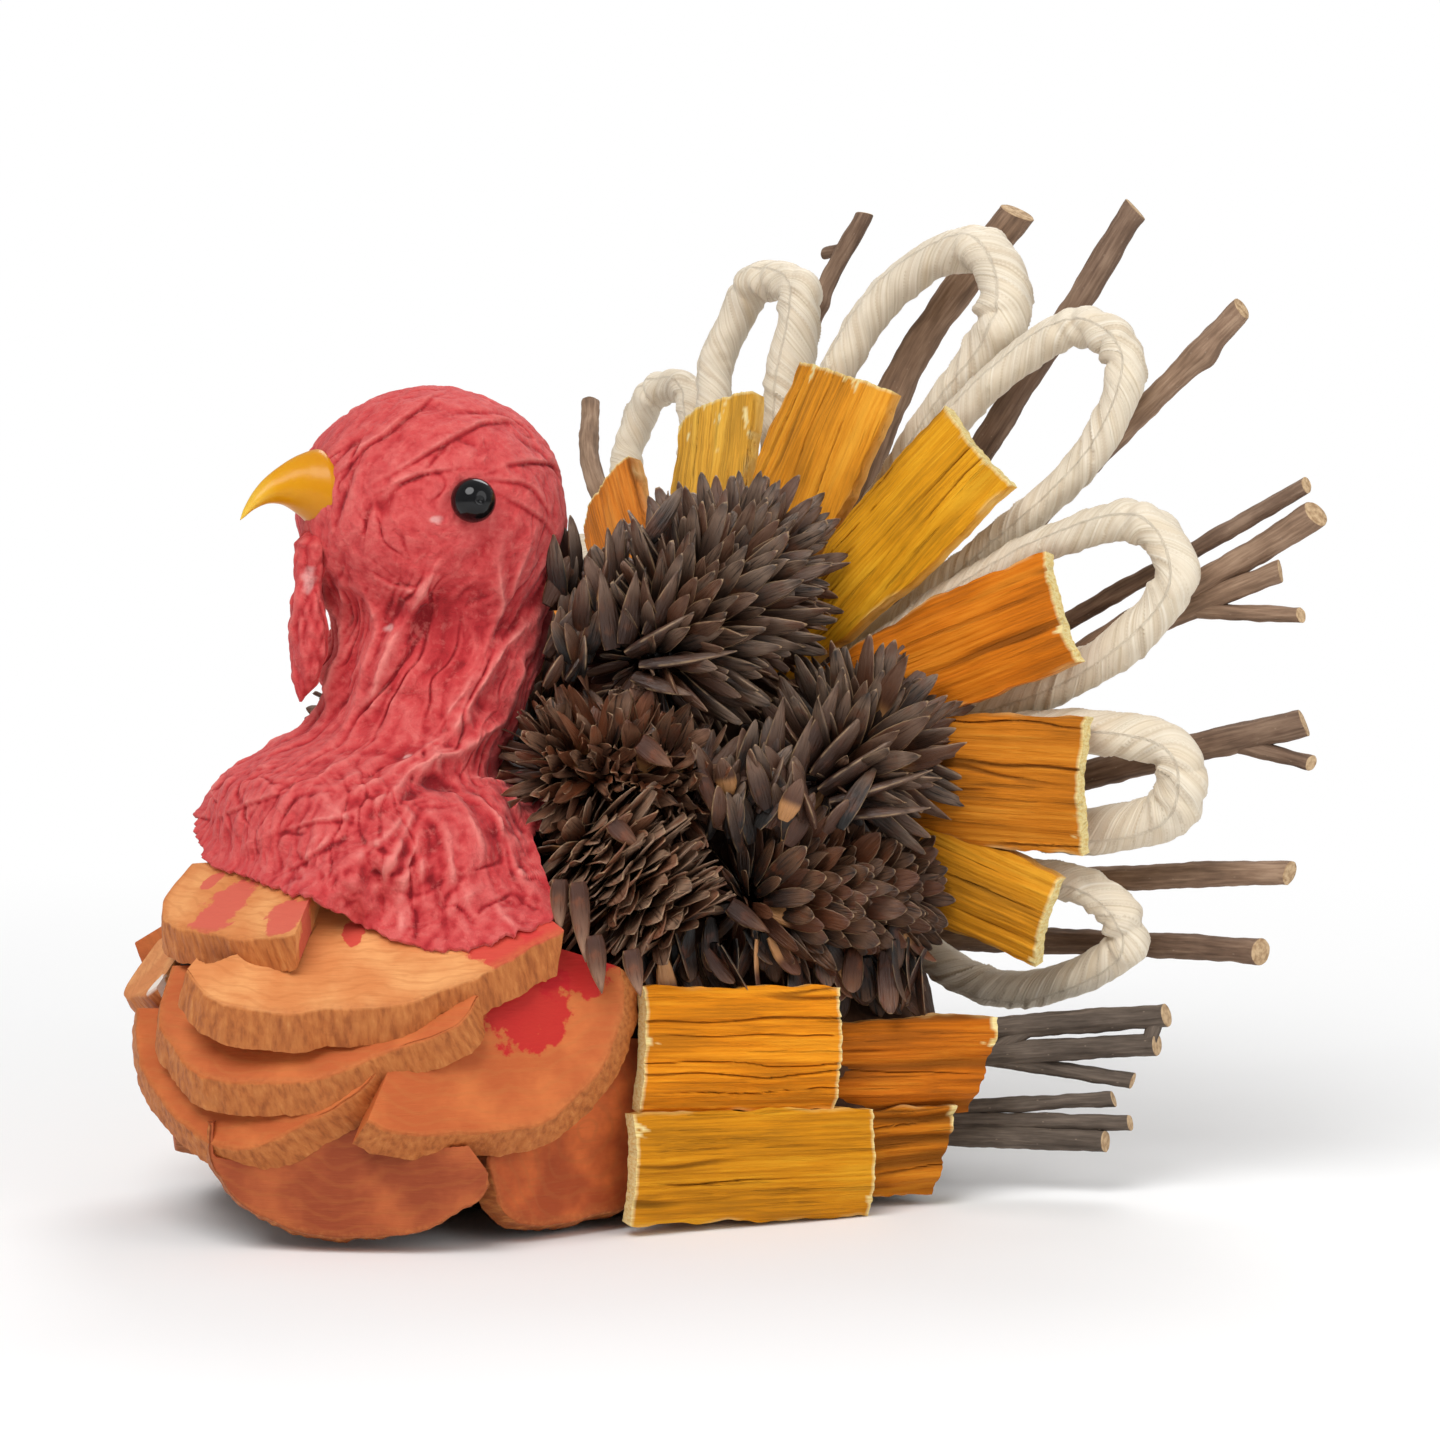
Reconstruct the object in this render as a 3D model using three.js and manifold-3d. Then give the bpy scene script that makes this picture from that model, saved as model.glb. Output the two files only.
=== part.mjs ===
// Thanksgiving turkey figure: a foam body dressed with wood slices, cones, bark, rope loops and twigs.
// Millimetres, +Z up. The bird faces -Y, its left side is +X, and it stands on z = 0.
import * as THREE from 'three';
import { mergeVertices } from 'three/addons/utils/BufferGeometryUtils.js';
import Module from 'manifold-3d';

const wasm = await Module();
wasm.setup();

// Clearance left by the glue line between two pieces
const FIT_GAP = 0.35;

// Foam body: a chest ball in front of a domed block
const CHEST_RADIUS = 42;
const CHEST_Y = -38;
const CHEST_Z = 40;
const BLOCK_FRONT_Y = -26;
const BLOCK_BACK_Y = 77;
const BLOCK_BACK_TOP = 112;
const BLOCK_FRONT_TOP = 84;
const BLOCK_BASE_HALF = 48;
const BLOCK_FLARE = 17;
const BLOCK_UPPER_HALF = 31;
const SHOULDER_LOW_Z = 30;
const SHOULDER_HIGH_Z = 56;
const BLOCK_EDGE = 10;

// Head and neck
const HEAD_RADIUS = 25.5;
const HEAD_HALF_HEIGHT = 23.6;
const HEAD_Y = -25.5;
const HEAD_Z = 131;
const HEAD_TURN = -10;
const PAPER_THICKNESS = 2.2;
const NECK_RADIUS = 19.8;
const NECK_FOOT_Y = -33;
const NECK_FOOT_Z = 84;
const NECK_BEND = 5.2;

// Paper skirt over the top of the chest
const SKIRT_LIFT = 8;
const SKIRT_FULL = 70;
const FOLD_COUNT = 9;
const NECK_FOLD_DEPTH = 1.1;
const SKIRT_FOLD_DEPTH = 1.3;
const HEAD_FOLD_DEPTH = 0.35;

// Beak, eyes and snood
const BEAK_LENGTH = 13;
const BEAK_HEIGHT = 13.8;
const BEAK_WIDTH = 12;
const EYE_RADIUS = 4;
const EYE_ANGLE = 81;
const EYE_RISE = 2.6;
const SNOOD_LENGTH = 28;
const SNOOD_WIDTH = 8.6;
const SNOOD_DEPTH = 5.4;

// Wood slices on the breast
const SLICE_THICKNESS = 5.6;

// Cones
const SCALES_AROUND = 9;
const SCALE_ROWS = 8;
const SCALE_LENGTH = 10;
const SCALE_LEAN = 0.85;

// Tail fan: a cone round a level axis, leaning back
const TAIL_Z = 81;
const TAIL_LEAN = 20;
const STRIP_APEX_Y = 35;
const LOOP_FRONT_Y = 43.4;
const LOOP_BACK_Y = 51.4;
const STICK_APEX_Y = 59.5;
const STRIP_THICKNESS = 3.2;
const STRIP_CROWN = 2.6;
const STRIP_ROOT = 26;
const STRIP_ROOT_WIDTH = 9;
const RIGHT_ROOT_WIDTH = 11;
const WING_THICKNESS = 3.6;
const WING_CROWN = 2;

// Facets
const ROPE_STEPS = 18;
const ROPE_SIDES = 6;
const TWIG_SIDES = 7;

const DEG = Math.PI / 180;
const MERGE_TOLERANCE = 1e-4;

const chestCentre = new THREE.Vector3(0, CHEST_Y, CHEST_Z);
const headCentre = new THREE.Vector3(0, HEAD_Y, HEAD_Z);

// Points and directions

function vec(x, y, z) {
  return new THREE.Vector3(x, y, z);
}

function mix(a, b, t) {
  return a + (b - a) * t;
}

function smooth(low, high, value) {
  return THREE.MathUtils.smoothstep(value, low, high);
}

// Unit direction: azimuth from the bird's front towards its left, then elevation, in degrees
function heading(azimuth, elevation = 0) {
  const level = Math.cos(elevation * DEG);
  return vec(Math.sin(azimuth * DEG) * level, -Math.cos(azimuth * DEG) * level, Math.sin(elevation * DEG));
}

// A place on the tail's cone: angle up from the bird's left, and distance from the apex
function fanPoint(apexY, angle, distance) {
  const out = distance * Math.cos(TAIL_LEAN * DEG);
  const back = distance * Math.sin(TAIL_LEAN * DEG);
  return vec(out * Math.cos(angle * DEG), apexY + back, TAIL_Z + out * Math.sin(angle * DEG));
}

// Value on a closed list of [angle, value] pairs in rising order of angle
function aroundTable(table, angle) {
  const turn = ((angle - table[0][0]) % 360 + 360) % 360 + table[0][0];
  for (let i = 0; i < table.length; i += 1) {
    const [a, va] = table[i];
    const [b, vb] = i + 1 < table.length ? table[i + 1] : [table[0][0] + 360, table[0][1]];
    if (turn <= b) return mix(va, vb, (turn - a) / (b - a));
  }
  return table[0][1];
}

// Value along a list of equally spaced stations
function along(list, t) {
  const place = Math.min(t, 1) * (list.length - 1);
  const i = Math.min(Math.floor(place), list.length - 2);
  return mix(list[i], list[i + 1], place - i);
}

// Solids and booleans

function indexed(geometry) {
  const bare = geometry.clone();
  bare.deleteAttribute('normal');
  bare.deleteAttribute('uv');
  const merged = mergeVertices(bare, MERGE_TOLERANCE);
  const tris = [];
  const source = merged.index.array;
  for (let i = 0; i < source.length; i += 3) {
    const [a, b, c] = [source[i], source[i + 1], source[i + 2]];
    if (a !== b && b !== c && c !== a) tris.push(a, b, c);
  }
  merged.setIndex(tris);
  return merged;
}

function toSolid(geometry) {
  const merged = indexed(geometry);
  const mesh = new wasm.Mesh({
    numProp: 3,
    vertProperties: new Float32Array(merged.attributes.position.array),
    triVerts: new Uint32Array(merged.index.array),
  });
  return new wasm.Manifold(mesh);
}

function toGeometry(solid) {
  const mesh = solid.getMesh();
  const geometry = new THREE.BufferGeometry();
  geometry.setAttribute('position', new THREE.BufferAttribute(new Float32Array(mesh.vertProperties), 3));
  geometry.setIndex(new THREE.BufferAttribute(new Uint32Array(mesh.triVerts), 1));
  return geometry;
}

function join(...solids) {
  return solids.reduce((sum, solid) => sum.add(solid));
}

function largestBody(solid) {
  return solid.decompose().reduce((best, body) => (body.volume() > best.volume() ? body : best));
}

// The body with each tool cut away, without the offcuts
function cut(body, tools) {
  return largestBody(tools.reduce((rest, tool) => rest.subtract(tool), body));
}

// The same solid with every face moved out by the clearance
function grown(solid, gap = FIT_GAP) {
  const geometry = toGeometry(solid);
  const position = geometry.attributes.position;
  const index = geometry.index.array;
  const sums = Array.from({ length: position.count }, () => vec(0, 0, 0));
  const faces = Array.from({ length: position.count }, () => []);
  for (let i = 0; i < index.length; i += 3) {
    const corners = [0, 1, 2].map((k) => index[i + k]);
    const points = corners.map((c) => vec().fromBufferAttribute(position, c));
    const normal = points[1].clone().sub(points[0]).cross(points[2].clone().sub(points[0]));
    if (normal.lengthSq() === 0) continue;
    normal.normalize();
    corners.forEach((c, k) => {
      const edge = points[(k + 1) % 3].clone().sub(points[k]);
      const weight = edge.angleTo(points[(k + 2) % 3].clone().sub(points[k]));
      sums[c].addScaledVector(normal, weight);
      faces[c].push(normal);
    });
  }
  for (let v = 0; v < position.count; v += 1) {
    const normal = sums[v].normalize();
    const least = faces[v].reduce((low, face) => Math.min(low, face.dot(normal)), 1);
    const point = vec().fromBufferAttribute(position, v);
    point.addScaledVector(normal, gap / Math.max(least, 0.4));
    position.setXYZ(v, point.x, point.y, point.z);
  }
  return toSolid(geometry);
}

// Flat end over one ring of points, wound with the ring
function ringFaces(ring) {
  const centre = ring.reduce((sum, p) => sum.add(p), vec(0, 0, 0)).divideScalar(ring.length);
  const normal = vec(0, 0, 0);
  ring.forEach((p, i) => {
    const next = ring[(i + 1) % ring.length];
    normal.add(p.clone().sub(centre).cross(next.clone().sub(centre)));
  });
  normal.normalize();
  const u = ring[0].clone().sub(centre).projectOnPlane(normal).normalize();
  const v = normal.clone().cross(u);
  const flat = ring.map((p) => {
    const offset = p.clone().sub(centre);
    return new THREE.Vector2(offset.dot(u), offset.dot(v));
  });
  return THREE.ShapeUtils.triangulateShape(flat, []).map(([a, b, c]) => {
    const turn = flat[b].clone().sub(flat[a]).cross(flat[c].clone().sub(flat[a]));
    return turn > 0 ? [a, b, c] : [a, c, b];
  });
}

// Closed skin over a row of rings that have the same number of points
function loft(rings) {
  const count = rings[0].length;
  const last = (rings.length - 1) * count;
  const tris = [];
  for (let i = 0; i + 1 < rings.length; i += 1) {
    for (let j = 0; j < count; j += 1) {
      const a = i * count + j;
      const b = i * count + (j + 1) % count;
      tris.push(a, b, b + count, a, b + count, a + count);
    }
  }
  ringFaces(rings[0]).forEach(([a, b, c]) => tris.push(a, c, b));
  ringFaces(rings[rings.length - 1]).forEach(([a, b, c]) => tris.push(last + a, last + b, last + c));
  return closedGeometry(rings.flat(), tris);
}

// Geometry from points and triangles, turned so that its faces point out
function closedGeometry(points, tris) {
  let volume = 0;
  for (let i = 0; i < tris.length; i += 3) {
    volume += points[tris[i]].dot(points[tris[i + 1]].clone().cross(points[tris[i + 2]]));
  }
  const facing = volume > 0 ? tris : tris.slice().reverse();
  const geometry = new THREE.BufferGeometry().setFromPoints(points);
  geometry.setIndex(facing);
  return geometry;
}

// Frame with z along a direction and y as near as can be to a second one
function placed(geometry, origin, zAxis, yHint) {
  const z = zAxis.clone().normalize();
  const x = yHint.clone().cross(z).normalize();
  const y = z.clone().cross(x);
  return geometry.applyMatrix4(new THREE.Matrix4().makeBasis(x, y, z).setPosition(origin));
}

// Foam body

// Half width of the block at a height, before its top is rounded over
function blockHalf(z, flare) {
  return mix(BLOCK_BASE_HALF + flare, BLOCK_UPPER_HALF, smooth(SHOULDER_LOW_Z, SHOULDER_HIGH_Z, z));
}

// Section of the block across the bird: flat below, with flared shoulders for the wings and a domed top
function blockSection(y, top, inset, flare) {
  const roundFrom = top * 0.72;
  const levels = [0, BLOCK_EDGE * 0.4, BLOCK_EDGE, SHOULDER_LOW_Z, 43, SHOULDER_HIGH_Z, roundFrom];
  const side = levels.map((z) => {
    const under = BLOCK_EDGE * (1 - Math.sqrt(1 - (1 - Math.min(z / BLOCK_EDGE, 1)) ** 2));
    return [blockHalf(z, flare) - under - inset, z];
  });
  for (const turn of [30, 58]) {
    const rise = (top - inset - roundFrom) * Math.sin(turn * DEG);
    side.push([(BLOCK_UPPER_HALF - inset) * Math.cos(turn * DEG), roundFrom + rise]);
  }
  const right = side.map(([x, z]) => vec(x, y, z));
  const left = side.map(([x, z]) => vec(-x, y, z)).reverse();
  return [...right, vec(0, y, top - inset), ...left];
}

function foamBody() {
  // Place along the block, how far its edges are rounded in, and share of the wings' flare
  const stations = [
    [0, 6, -0.2], [0.25, 2, 0.2], [0.48, 0, 0.65], [0.7, 0, 0.85], [0.86, 3, 0], [1, 9, -0.5],
  ];
  const rings = stations.map(([t, inset, flare]) => {
    const top = mix(BLOCK_FRONT_TOP, BLOCK_BACK_TOP, smooth(0.25, 0.8, t));
    return blockSection(mix(BLOCK_FRONT_Y, BLOCK_BACK_Y, t), top, inset, flare * BLOCK_FLARE);
  });
  const ball = new THREE.SphereGeometry(CHEST_RADIUS, 20, 12);
  ball.rotateX(Math.PI / 2);
  ball.translate(chestCentre.x, chestCentre.y, chestCentre.z);
  return join(toSolid(loft(rings)), toSolid(ball)).subtract(underGround());
}

// Everything below the surface that the figure stands on
function underGround() {
  const size = 4 * (BLOCK_BACK_Y - BLOCK_FRONT_Y);
  return toSolid(new THREE.BoxGeometry(size, size, size).translate(0, 0, -size / 2));
}

// Head and its paper

// A place on the neck's centre line, from the middle of the head down to the chest
function neckPlace(t) {
  const place = headCentre.clone().lerp(vec(0, NECK_FOOT_Y, NECK_FOOT_Z), t);
  place.y += NECK_BEND * Math.sin(Math.min(t, 1) * Math.PI);
  return place;
}

function headCore() {
  const ball = new THREE.SphereGeometry(HEAD_RADIUS - PAPER_THICKNESS, 14, 9);
  ball.rotateX(Math.PI / 2);
  ball.scale(1, 1, HEAD_HALF_HEIGHT / HEAD_RADIUS);
  ball.translate(headCentre.x, headCentre.y, headCentre.z);
  const radius = NECK_RADIUS - PAPER_THICKNESS - NECK_FOLD_DEPTH;
  const neck = rod([0, 0.5, 1.2].map(neckPlace), [radius, radius, radius], 14);
  return join(toSolid(ball), toSolid(neck));
}

// Height of the skirt's torn edge above the ground, by azimuth
const SKIRT_EDGE = [
  [-180, 70], [-120, 58], [-75, 62], [-40, 73], [-15, 68], [5, 62], [28, 57], [42, 52],
  [58, 52], [72, 47], [88, 50], [108, 48], [140, 62],
];

function headWrapForm() {
  const around = 30;
  const rings = [];
  const ring = (place) => {
    rings.push(Array.from({ length: around }, (_, i) => place(i * 360 / around)));
  };
  const folds = (azimuth, row) => Math.sin((FOLD_COUNT * azimuth + 50 * row) * DEG);
  [12, 34, 56, 76, 96, 114].forEach((polar, row) => {
    ring((azimuth) => heading(azimuth, 90 - polar)
      .multiplyScalar(HEAD_RADIUS + HEAD_FOLD_DEPTH * folds(azimuth, row))
      .multiply(vec(1, 1, HEAD_HALF_HEIGHT / HEAD_RADIUS))
      .add(headCentre));
  });
  [0.42, 0.62, 0.82].forEach((t, row) => {
    ring((azimuth) => neckPlace(t).addScaledVector(
      heading(azimuth),
      NECK_RADIUS + NECK_FOLD_DEPTH * folds(azimuth, row),
    ));
  });
  const lift = (azimuth) => SKIRT_LIFT * (0.65 + 0.35 * Math.cos((azimuth - SKIRT_FULL) * DEG));
  const skirt = CHEST_RADIUS + SKIRT_LIFT;
  const collar = Math.asin((NECK_FOOT_Z - CHEST_Z) / skirt) / DEG;
  [0, 0.35, 0.7, 1].forEach((t, row) => {
    ring((azimuth) => {
      const edge = Math.asin((aroundTable(SKIRT_EDGE, azimuth) - CHEST_Z) / skirt) / DEG;
      const reach = CHEST_RADIUS + lift(azimuth) + SKIRT_FOLD_DEPTH * folds(azimuth, row) * (0.4 + t);
      return chestCentre.clone().addScaledVector(heading(azimuth, mix(collar, edge, t)), reach);
    });
  });
  ring((azimuth) => chestCentre.clone().addScaledVector(heading(azimuth), CHEST_RADIUS / 8));
  return toSolid(loft(rings));
}

// Beak: oval rings along a hooked centre line ahead of the face
function beak() {
  const ahead = heading(HEAD_TURN);
  const across = heading(HEAD_TURN + 90);
  // Reach ahead of the face, rise and size, each as a share of the beak's own
  const stations = [
    [-0.5, 0.29, 1], [-0.1, 0.29, 0.98], [0.25, 0.36, 0.66],
    [0.62, 0.29, 0.38], [0.87, 0.11, 0.2], [1, -0.03, 0.05],
  ];
  const rings = stations.map(([reach, rise, size]) => {
    const centre = headCentre.clone()
      .addScaledVector(ahead, HEAD_RADIUS + reach * BEAK_LENGTH)
      .add(vec(0, 0, rise * BEAK_HEIGHT));
    return Array.from({ length: 10 }, (_, i) => {
      const turn = i * Math.PI / 5;
      return centre.clone()
        .addScaledVector(across, Math.cos(turn) * size * BEAK_WIDTH / 2)
        .add(vec(0, 0, Math.sin(turn) * size * BEAK_HEIGHT / 2));
    });
  });
  return toSolid(loft(rings));
}

function eye(azimuth) {
  const bead = new THREE.SphereGeometry(EYE_RADIUS, 10, 8);
  const place = headCentre.clone().addScaledVector(heading(azimuth), HEAD_RADIUS + EYE_RADIUS * 0.2);
  bead.translate(place.x, place.y, place.z + EYE_RISE);
  return toSolid(bead);
}

// Snood: a flat drop that hangs from the face under the beak
function snood() {
  const ahead = heading(HEAD_TURN);
  const across = heading(HEAD_TURN + 90);
  const top = HEAD_Z - BEAK_HEIGHT * 0.45;
  const stations = [[0, -3, 0.5], [0.25, -0.5, 0.8], [0.55, -0.5, 1], [0.8, 0, 0.7], [1, 1.5, 0.12]];
  const rings = stations.map(([drop, reach, size]) => {
    const centre = headCentre.clone().addScaledVector(ahead, HEAD_RADIUS + reach);
    centre.setZ(top - drop * SNOOD_LENGTH);
    return Array.from({ length: 8 }, (_, i) => {
      const turn = i * Math.PI / 4;
      return centre.clone()
        .addScaledVector(across, Math.cos(turn) * size * SNOOD_WIDTH / 2)
        .addScaledVector(ahead, Math.sin(turn) * size * SNOOD_DEPTH / 2);
    });
  });
  return toSolid(loft(rings));
}

// Wood slices

// A slice across a branch, with a round bark edge below and sawn edges at the sides and top.
// The face looks along azimuth and elevation, and rise is its height over the chest ball.
// slide and drop place the branch's centre in the face, left, right and top are the sawn edges.
function woodSlice({ azimuth, elevation, rise, slide, drop, radius, left, right, top }) {
  const start = -Math.PI / 2 - Math.asin(Math.min(left / radius, 1));
  const end = -Math.PI / 2 + Math.asin(Math.min(right / radius, 1));
  const shape = new THREE.Shape();
  shape.absarc(0, 0, radius, start, end, false);
  shape.lineTo(radius * Math.cos(end), top);
  shape.lineTo(radius * Math.cos(start), top);
  shape.closePath();
  const options = { depth: SLICE_THICKNESS, bevelEnabled: false, curveSegments: 6 };
  const slab = new THREE.ExtrudeGeometry(shape, options);
  slab.translate(0, 0, -SLICE_THICKNESS);
  const face = heading(azimuth, elevation);
  const up = heading(azimuth, elevation + 90);
  const side = up.clone().cross(face);
  const origin = chestCentre.clone()
    .addScaledVector(face, CHEST_RADIUS + rise)
    .addScaledVector(side, slide)
    .addScaledVector(up, drop);
  return toSolid(placed(slab, origin, face, up));
}

// Outermost slice first: each one is trimmed by those before it
const SLICES = [
  {
    name: 'slice_collar_front',
    azimuth: 10, elevation: 55, rise: -2, slide: 6.9, drop: 8.5,
    radius: 36, left: 20, right: 6, top: -14,
  },
  {
    name: 'slice_collar_left',
    azimuth: 50, elevation: 52, rise: -6.5, slide: -2, drop: 6.7,
    radius: 44.7, left: 30, right: 37, top: -12,
  },
  {
    name: 'slice_breast_upper',
    azimuth: 35, elevation: 42, rise: -9.8, slide: -2.7, drop: -9.1,
    radius: 31, left: 25.5, right: 28, top: -4,
  },
  {
    name: 'slice_breast_front',
    azimuth: -25, elevation: 40, rise: -5.7, slide: 1.2, drop: -3.8,
    radius: 26, left: 17, right: 8, top: -4,
  },
  {
    name: 'slice_breast_middle',
    azimuth: 25, elevation: 27, rise: -7.8, slide: -1.1, drop: -13.1,
    radius: 27.8, left: 26, right: 23.5, top: 0,
  },
  {
    name: 'slice_side_upper',
    azimuth: 70, elevation: 17, rise: 0.3, slide: 0, drop: 4,
    radius: 36, left: 15, right: 35, top: -6,
  },
  {
    name: 'slice_breast_lower',
    azimuth: 45, elevation: -3, rise: 2.4, slide: 5.2, drop: -0.5,
    radius: 35.4, left: 30, right: 23, top: -8,
  },
  {
    name: 'slice_side_lower',
    azimuth: 85, elevation: 0, rise: 2.6, slide: 14, drop: -11.6,
    radius: 26.5, left: 17, right: 19, top: 2,
  },
];

// The bird's right side, fused where the slices lap
const RIGHT_SLICES = [
  {
    azimuth: -88, elevation: 48, rise: -6.5, slide: 0, drop: 6,
    radius: 42, left: 30, right: 26, top: -10,
  },
  {
    azimuth: -96, elevation: 17, rise: -2, slide: 2, drop: 4,
    radius: 35, left: 32, right: 28, top: -4,
  },
  {
    azimuth: -30, elevation: -4, rise: -1.5, slide: -2, drop: -1,
    radius: 33, left: 29, right: 29, top: -2,
  },
  {
    azimuth: -99, elevation: -2, rise: -0.5, slide: -6, drop: -10,
    radius: 27, left: 24, right: 22, top: 0,
  },
];

// Cones

// One cone standing on its stem end, as a lattice of pointed scales that lean towards the tip.
// Each scale is a four-sided spike over one diamond of the lattice.
function coneGeometry(length, radius) {
  const core = radius - SCALE_LENGTH * 0.8;
  const halfPitch = 180 / SCALES_AROUND;
  const points = [];
  const tris = [];
  const onCore = (a, b, lift) => {
    const t = b / SCALE_ROWS;
    const bulge = Math.sin((0.14 + 0.78 * t) * Math.PI) ** 0.75;
    const size = core * bulge + lift * 0.8;
    const turn = (a * halfPitch + b * halfPitch * 0.5) * DEG;
    return vec(Math.cos(turn) * size, Math.sin(turn) * size, t * length + lift * SCALE_LEAN);
  };
  const corners = new Map();
  const corner = (a, b) => {
    const key = `${(a + 2 * SCALES_AROUND) % (2 * SCALES_AROUND)},${b}`;
    if (!corners.has(key)) {
      corners.set(key, points.length);
      points.push(onCore(a, b, 0));
    }
    return corners.get(key);
  };
  for (let b = 0; b <= SCALE_ROWS; b += 1) {
    const lift = SCALE_LENGTH * mix(0.75, 1, Math.sin(Math.PI * b / SCALE_ROWS));
    for (let i = 0; i < SCALES_AROUND; i += 1) {
      const a = 2 * i + (b + 1) % 2;
      const [left, right] = [corner(a - 1, b), corner(a + 1, b)];
      const low = b > 0 ? corner(a, b - 1) : null;
      const high = b < SCALE_ROWS ? corner(a, b + 1) : null;
      if (low === null) {
        tris.push(left, right, high);
      } else if (high === null) {
        tris.push(right, left, low);
      } else {
        const tip = points.push(onCore(a, b, lift)) - 1;
        tris.push(low, right, tip, right, high, tip, high, left, tip, left, low, tip);
      }
    }
  }
  const stem = points.push(vec(0, 0, -1)) - 1;
  const crown = points.push(vec(0, 0, length + SCALE_LENGTH * 0.5)) - 1;
  for (let i = 0; i < SCALES_AROUND; i += 1) {
    tris.push(corner(2 * i + 2, 0), corner(2 * i, 0), stem);
    const a = 2 * i + SCALE_ROWS % 2;
    tris.push(corner(a, SCALE_ROWS), corner(a + 2, SCALE_ROWS), crown);
  }
  return closedGeometry(points, tris);
}

function cone({ stem, axis, length, radius }) {
  return toSolid(placed(coneGeometry(length, radius), vec(...stem), vec(...axis), vec(1, 0, 0.2)));
}

// Middle of a cone's core
function coneCentre({ stem, axis, length }) {
  return vec(...stem).addScaledVector(vec(...axis).normalize(), length / 2);
}

// All that lies beyond a plane, on the side that its normal points to
function beyond(point, normal) {
  const size = 3 * (BLOCK_BACK_Y - BLOCK_FRONT_Y);
  const block = new THREE.BoxGeometry(size, size, size).translate(0, 0, size / 2);
  const hint = Math.abs(normal.z) < 0.9 ? vec(0, 0, 1) : vec(1, 0, 0);
  return toSolid(placed(block, point, normal, hint));
}

// Cones that press against each other meet in a plane half way between them
function coneLimits(spec, others) {
  const centre = coneCentre(spec);
  return others.filter((other) => other !== spec).map((other) => {
    const gap = coneCentre(other).sub(centre);
    const normal = gap.clone().normalize();
    const place = centre.clone().addScaledVector(gap, 0.5).addScaledVector(normal, -FIT_GAP / 2);
    return beyond(place, normal);
  });
}

// Cones stop at a plane in front of the tail strips
function tailLimit(spec) {
  const centre = coneCentre(spec);
  const angle = Math.atan2(centre.z - TAIL_Z, centre.x) / DEG;
  const lean = TAIL_LEAN * DEG;
  const inward = vec(-Math.cos(angle * DEG), 0, -Math.sin(angle * DEG));
  const normal = vec(0, Math.cos(lean), 0).addScaledVector(inward, Math.sin(lean));
  const front = STRIP_APEX_Y - (STRIP_CROWN + FIT_GAP) / Math.cos(lean);
  return beyond(fanPoint(front, angle, STRIP_ROOT), normal);
}

const CONES = [
  { name: 'cone_top', stem: [20, -6, 111], axis: [0.2, 0.95, 0.12], length: 50, radius: 23 },
  { name: 'cone_side_upper', stem: [45, 15, 74], axis: [-0.02, 0.85, 0.4], length: 42, radius: 21.5 },
  { name: 'cone_side_lower', stem: [44, 4, 53], axis: [0.02, 0.99, 0], length: 42, radius: 20.5 },
  { name: 'cone_neck', stem: [37, 11, 83], axis: [-0.3, -0.9, 0.2], length: 29, radius: 20.5 },
  { name: 'cone_breast', stem: [43, 1, 74], axis: [-0.05, -0.55, -0.83], length: 26, radius: 18 },
];
const RIGHT_CONES = [
  { name: 'cone_right_upper', stem: [-40, 20, 82], axis: [0.05, 0.85, 0.45], length: 38, radius: 22 },
  { name: 'cone_right_lower', stem: [-44, 2, 54], axis: [-0.02, 0.99, 0.05], length: 42, radius: 20.5 },
  { name: 'cone_right_neck', stem: [-36, 6, 80], axis: [0.25, -0.9, 0.2], length: 30, radius: 20 },
];

// Bark strips

// A curled strip of bark from one end to the other, crowned towards out
function barkStrip({ from, to, out, widthFrom, widthTo, thickness, crown }) {
  const length = to.clone().sub(from).normalize();
  const side = length.clone().cross(out).normalize();
  const face = side.clone().cross(length);
  const across = [-1, -0.5, 0, 0.5, 1];
  const rings = [0, 0.35, 0.7, 1].map((t) => {
    const half = mix(widthFrom, widthTo, Math.min(t * 1.6, 1)) / 2;
    const centre = from.clone().lerp(to, t);
    const edge = (k, depth) => centre.clone()
      .addScaledVector(side, k * half)
      .addScaledVector(face, crown * (1 - k * k) - depth);
    return [...across.map((k) => edge(k, 0)), ...across.map((k) => edge(-k, thickness))];
  });
  return toSolid(loft(rings));
}

// Tail strips: angle, outer reach and width
const TAIL_STRIPS = [
  { name: 'tail_strip_1', angle: 138.5, reach: 85, width: 20 },
  { name: 'tail_strip_2', angle: 106.5, reach: 78.5, width: 25 },
  { name: 'tail_strip_3', angle: 77, reach: 83.5, width: 29 },
  { name: 'tail_strip_4', angle: 49.5, reach: 88, width: 23 },
  { name: 'tail_strip_5', angle: 23, reach: 88.5, width: 23 },
  { name: 'tail_strip_6', angle: -1, reach: 88.5, width: 26 },
  { name: 'tail_strip_7', angle: -20.5, reach: 85, width: 19 },
];
const RIGHT_STRIPS = [
  { angle: 166, reach: 88, width: 22 },
  { angle: 184, reach: 88, width: 25 },
  { angle: 202, reach: 88, width: 20 },
];

function tailStrip({ angle, reach, width }, rootWidth = STRIP_ROOT_WIDTH) {
  return barkStrip({
    from: fanPoint(STRIP_APEX_Y, angle, STRIP_ROOT),
    to: fanPoint(STRIP_APEX_Y, angle, reach),
    out: vec(0, -1, 0),
    widthFrom: rootWidth,
    widthTo: width,
    thickness: STRIP_THICKNESS,
    crown: STRIP_CROWN,
  });
}

// A place on the wing, by how far it stands out from the side of the block
function wingPlace([out, y, z], side) {
  return vec((BLOCK_BASE_HALF + out) * side, y, z);
}

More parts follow.
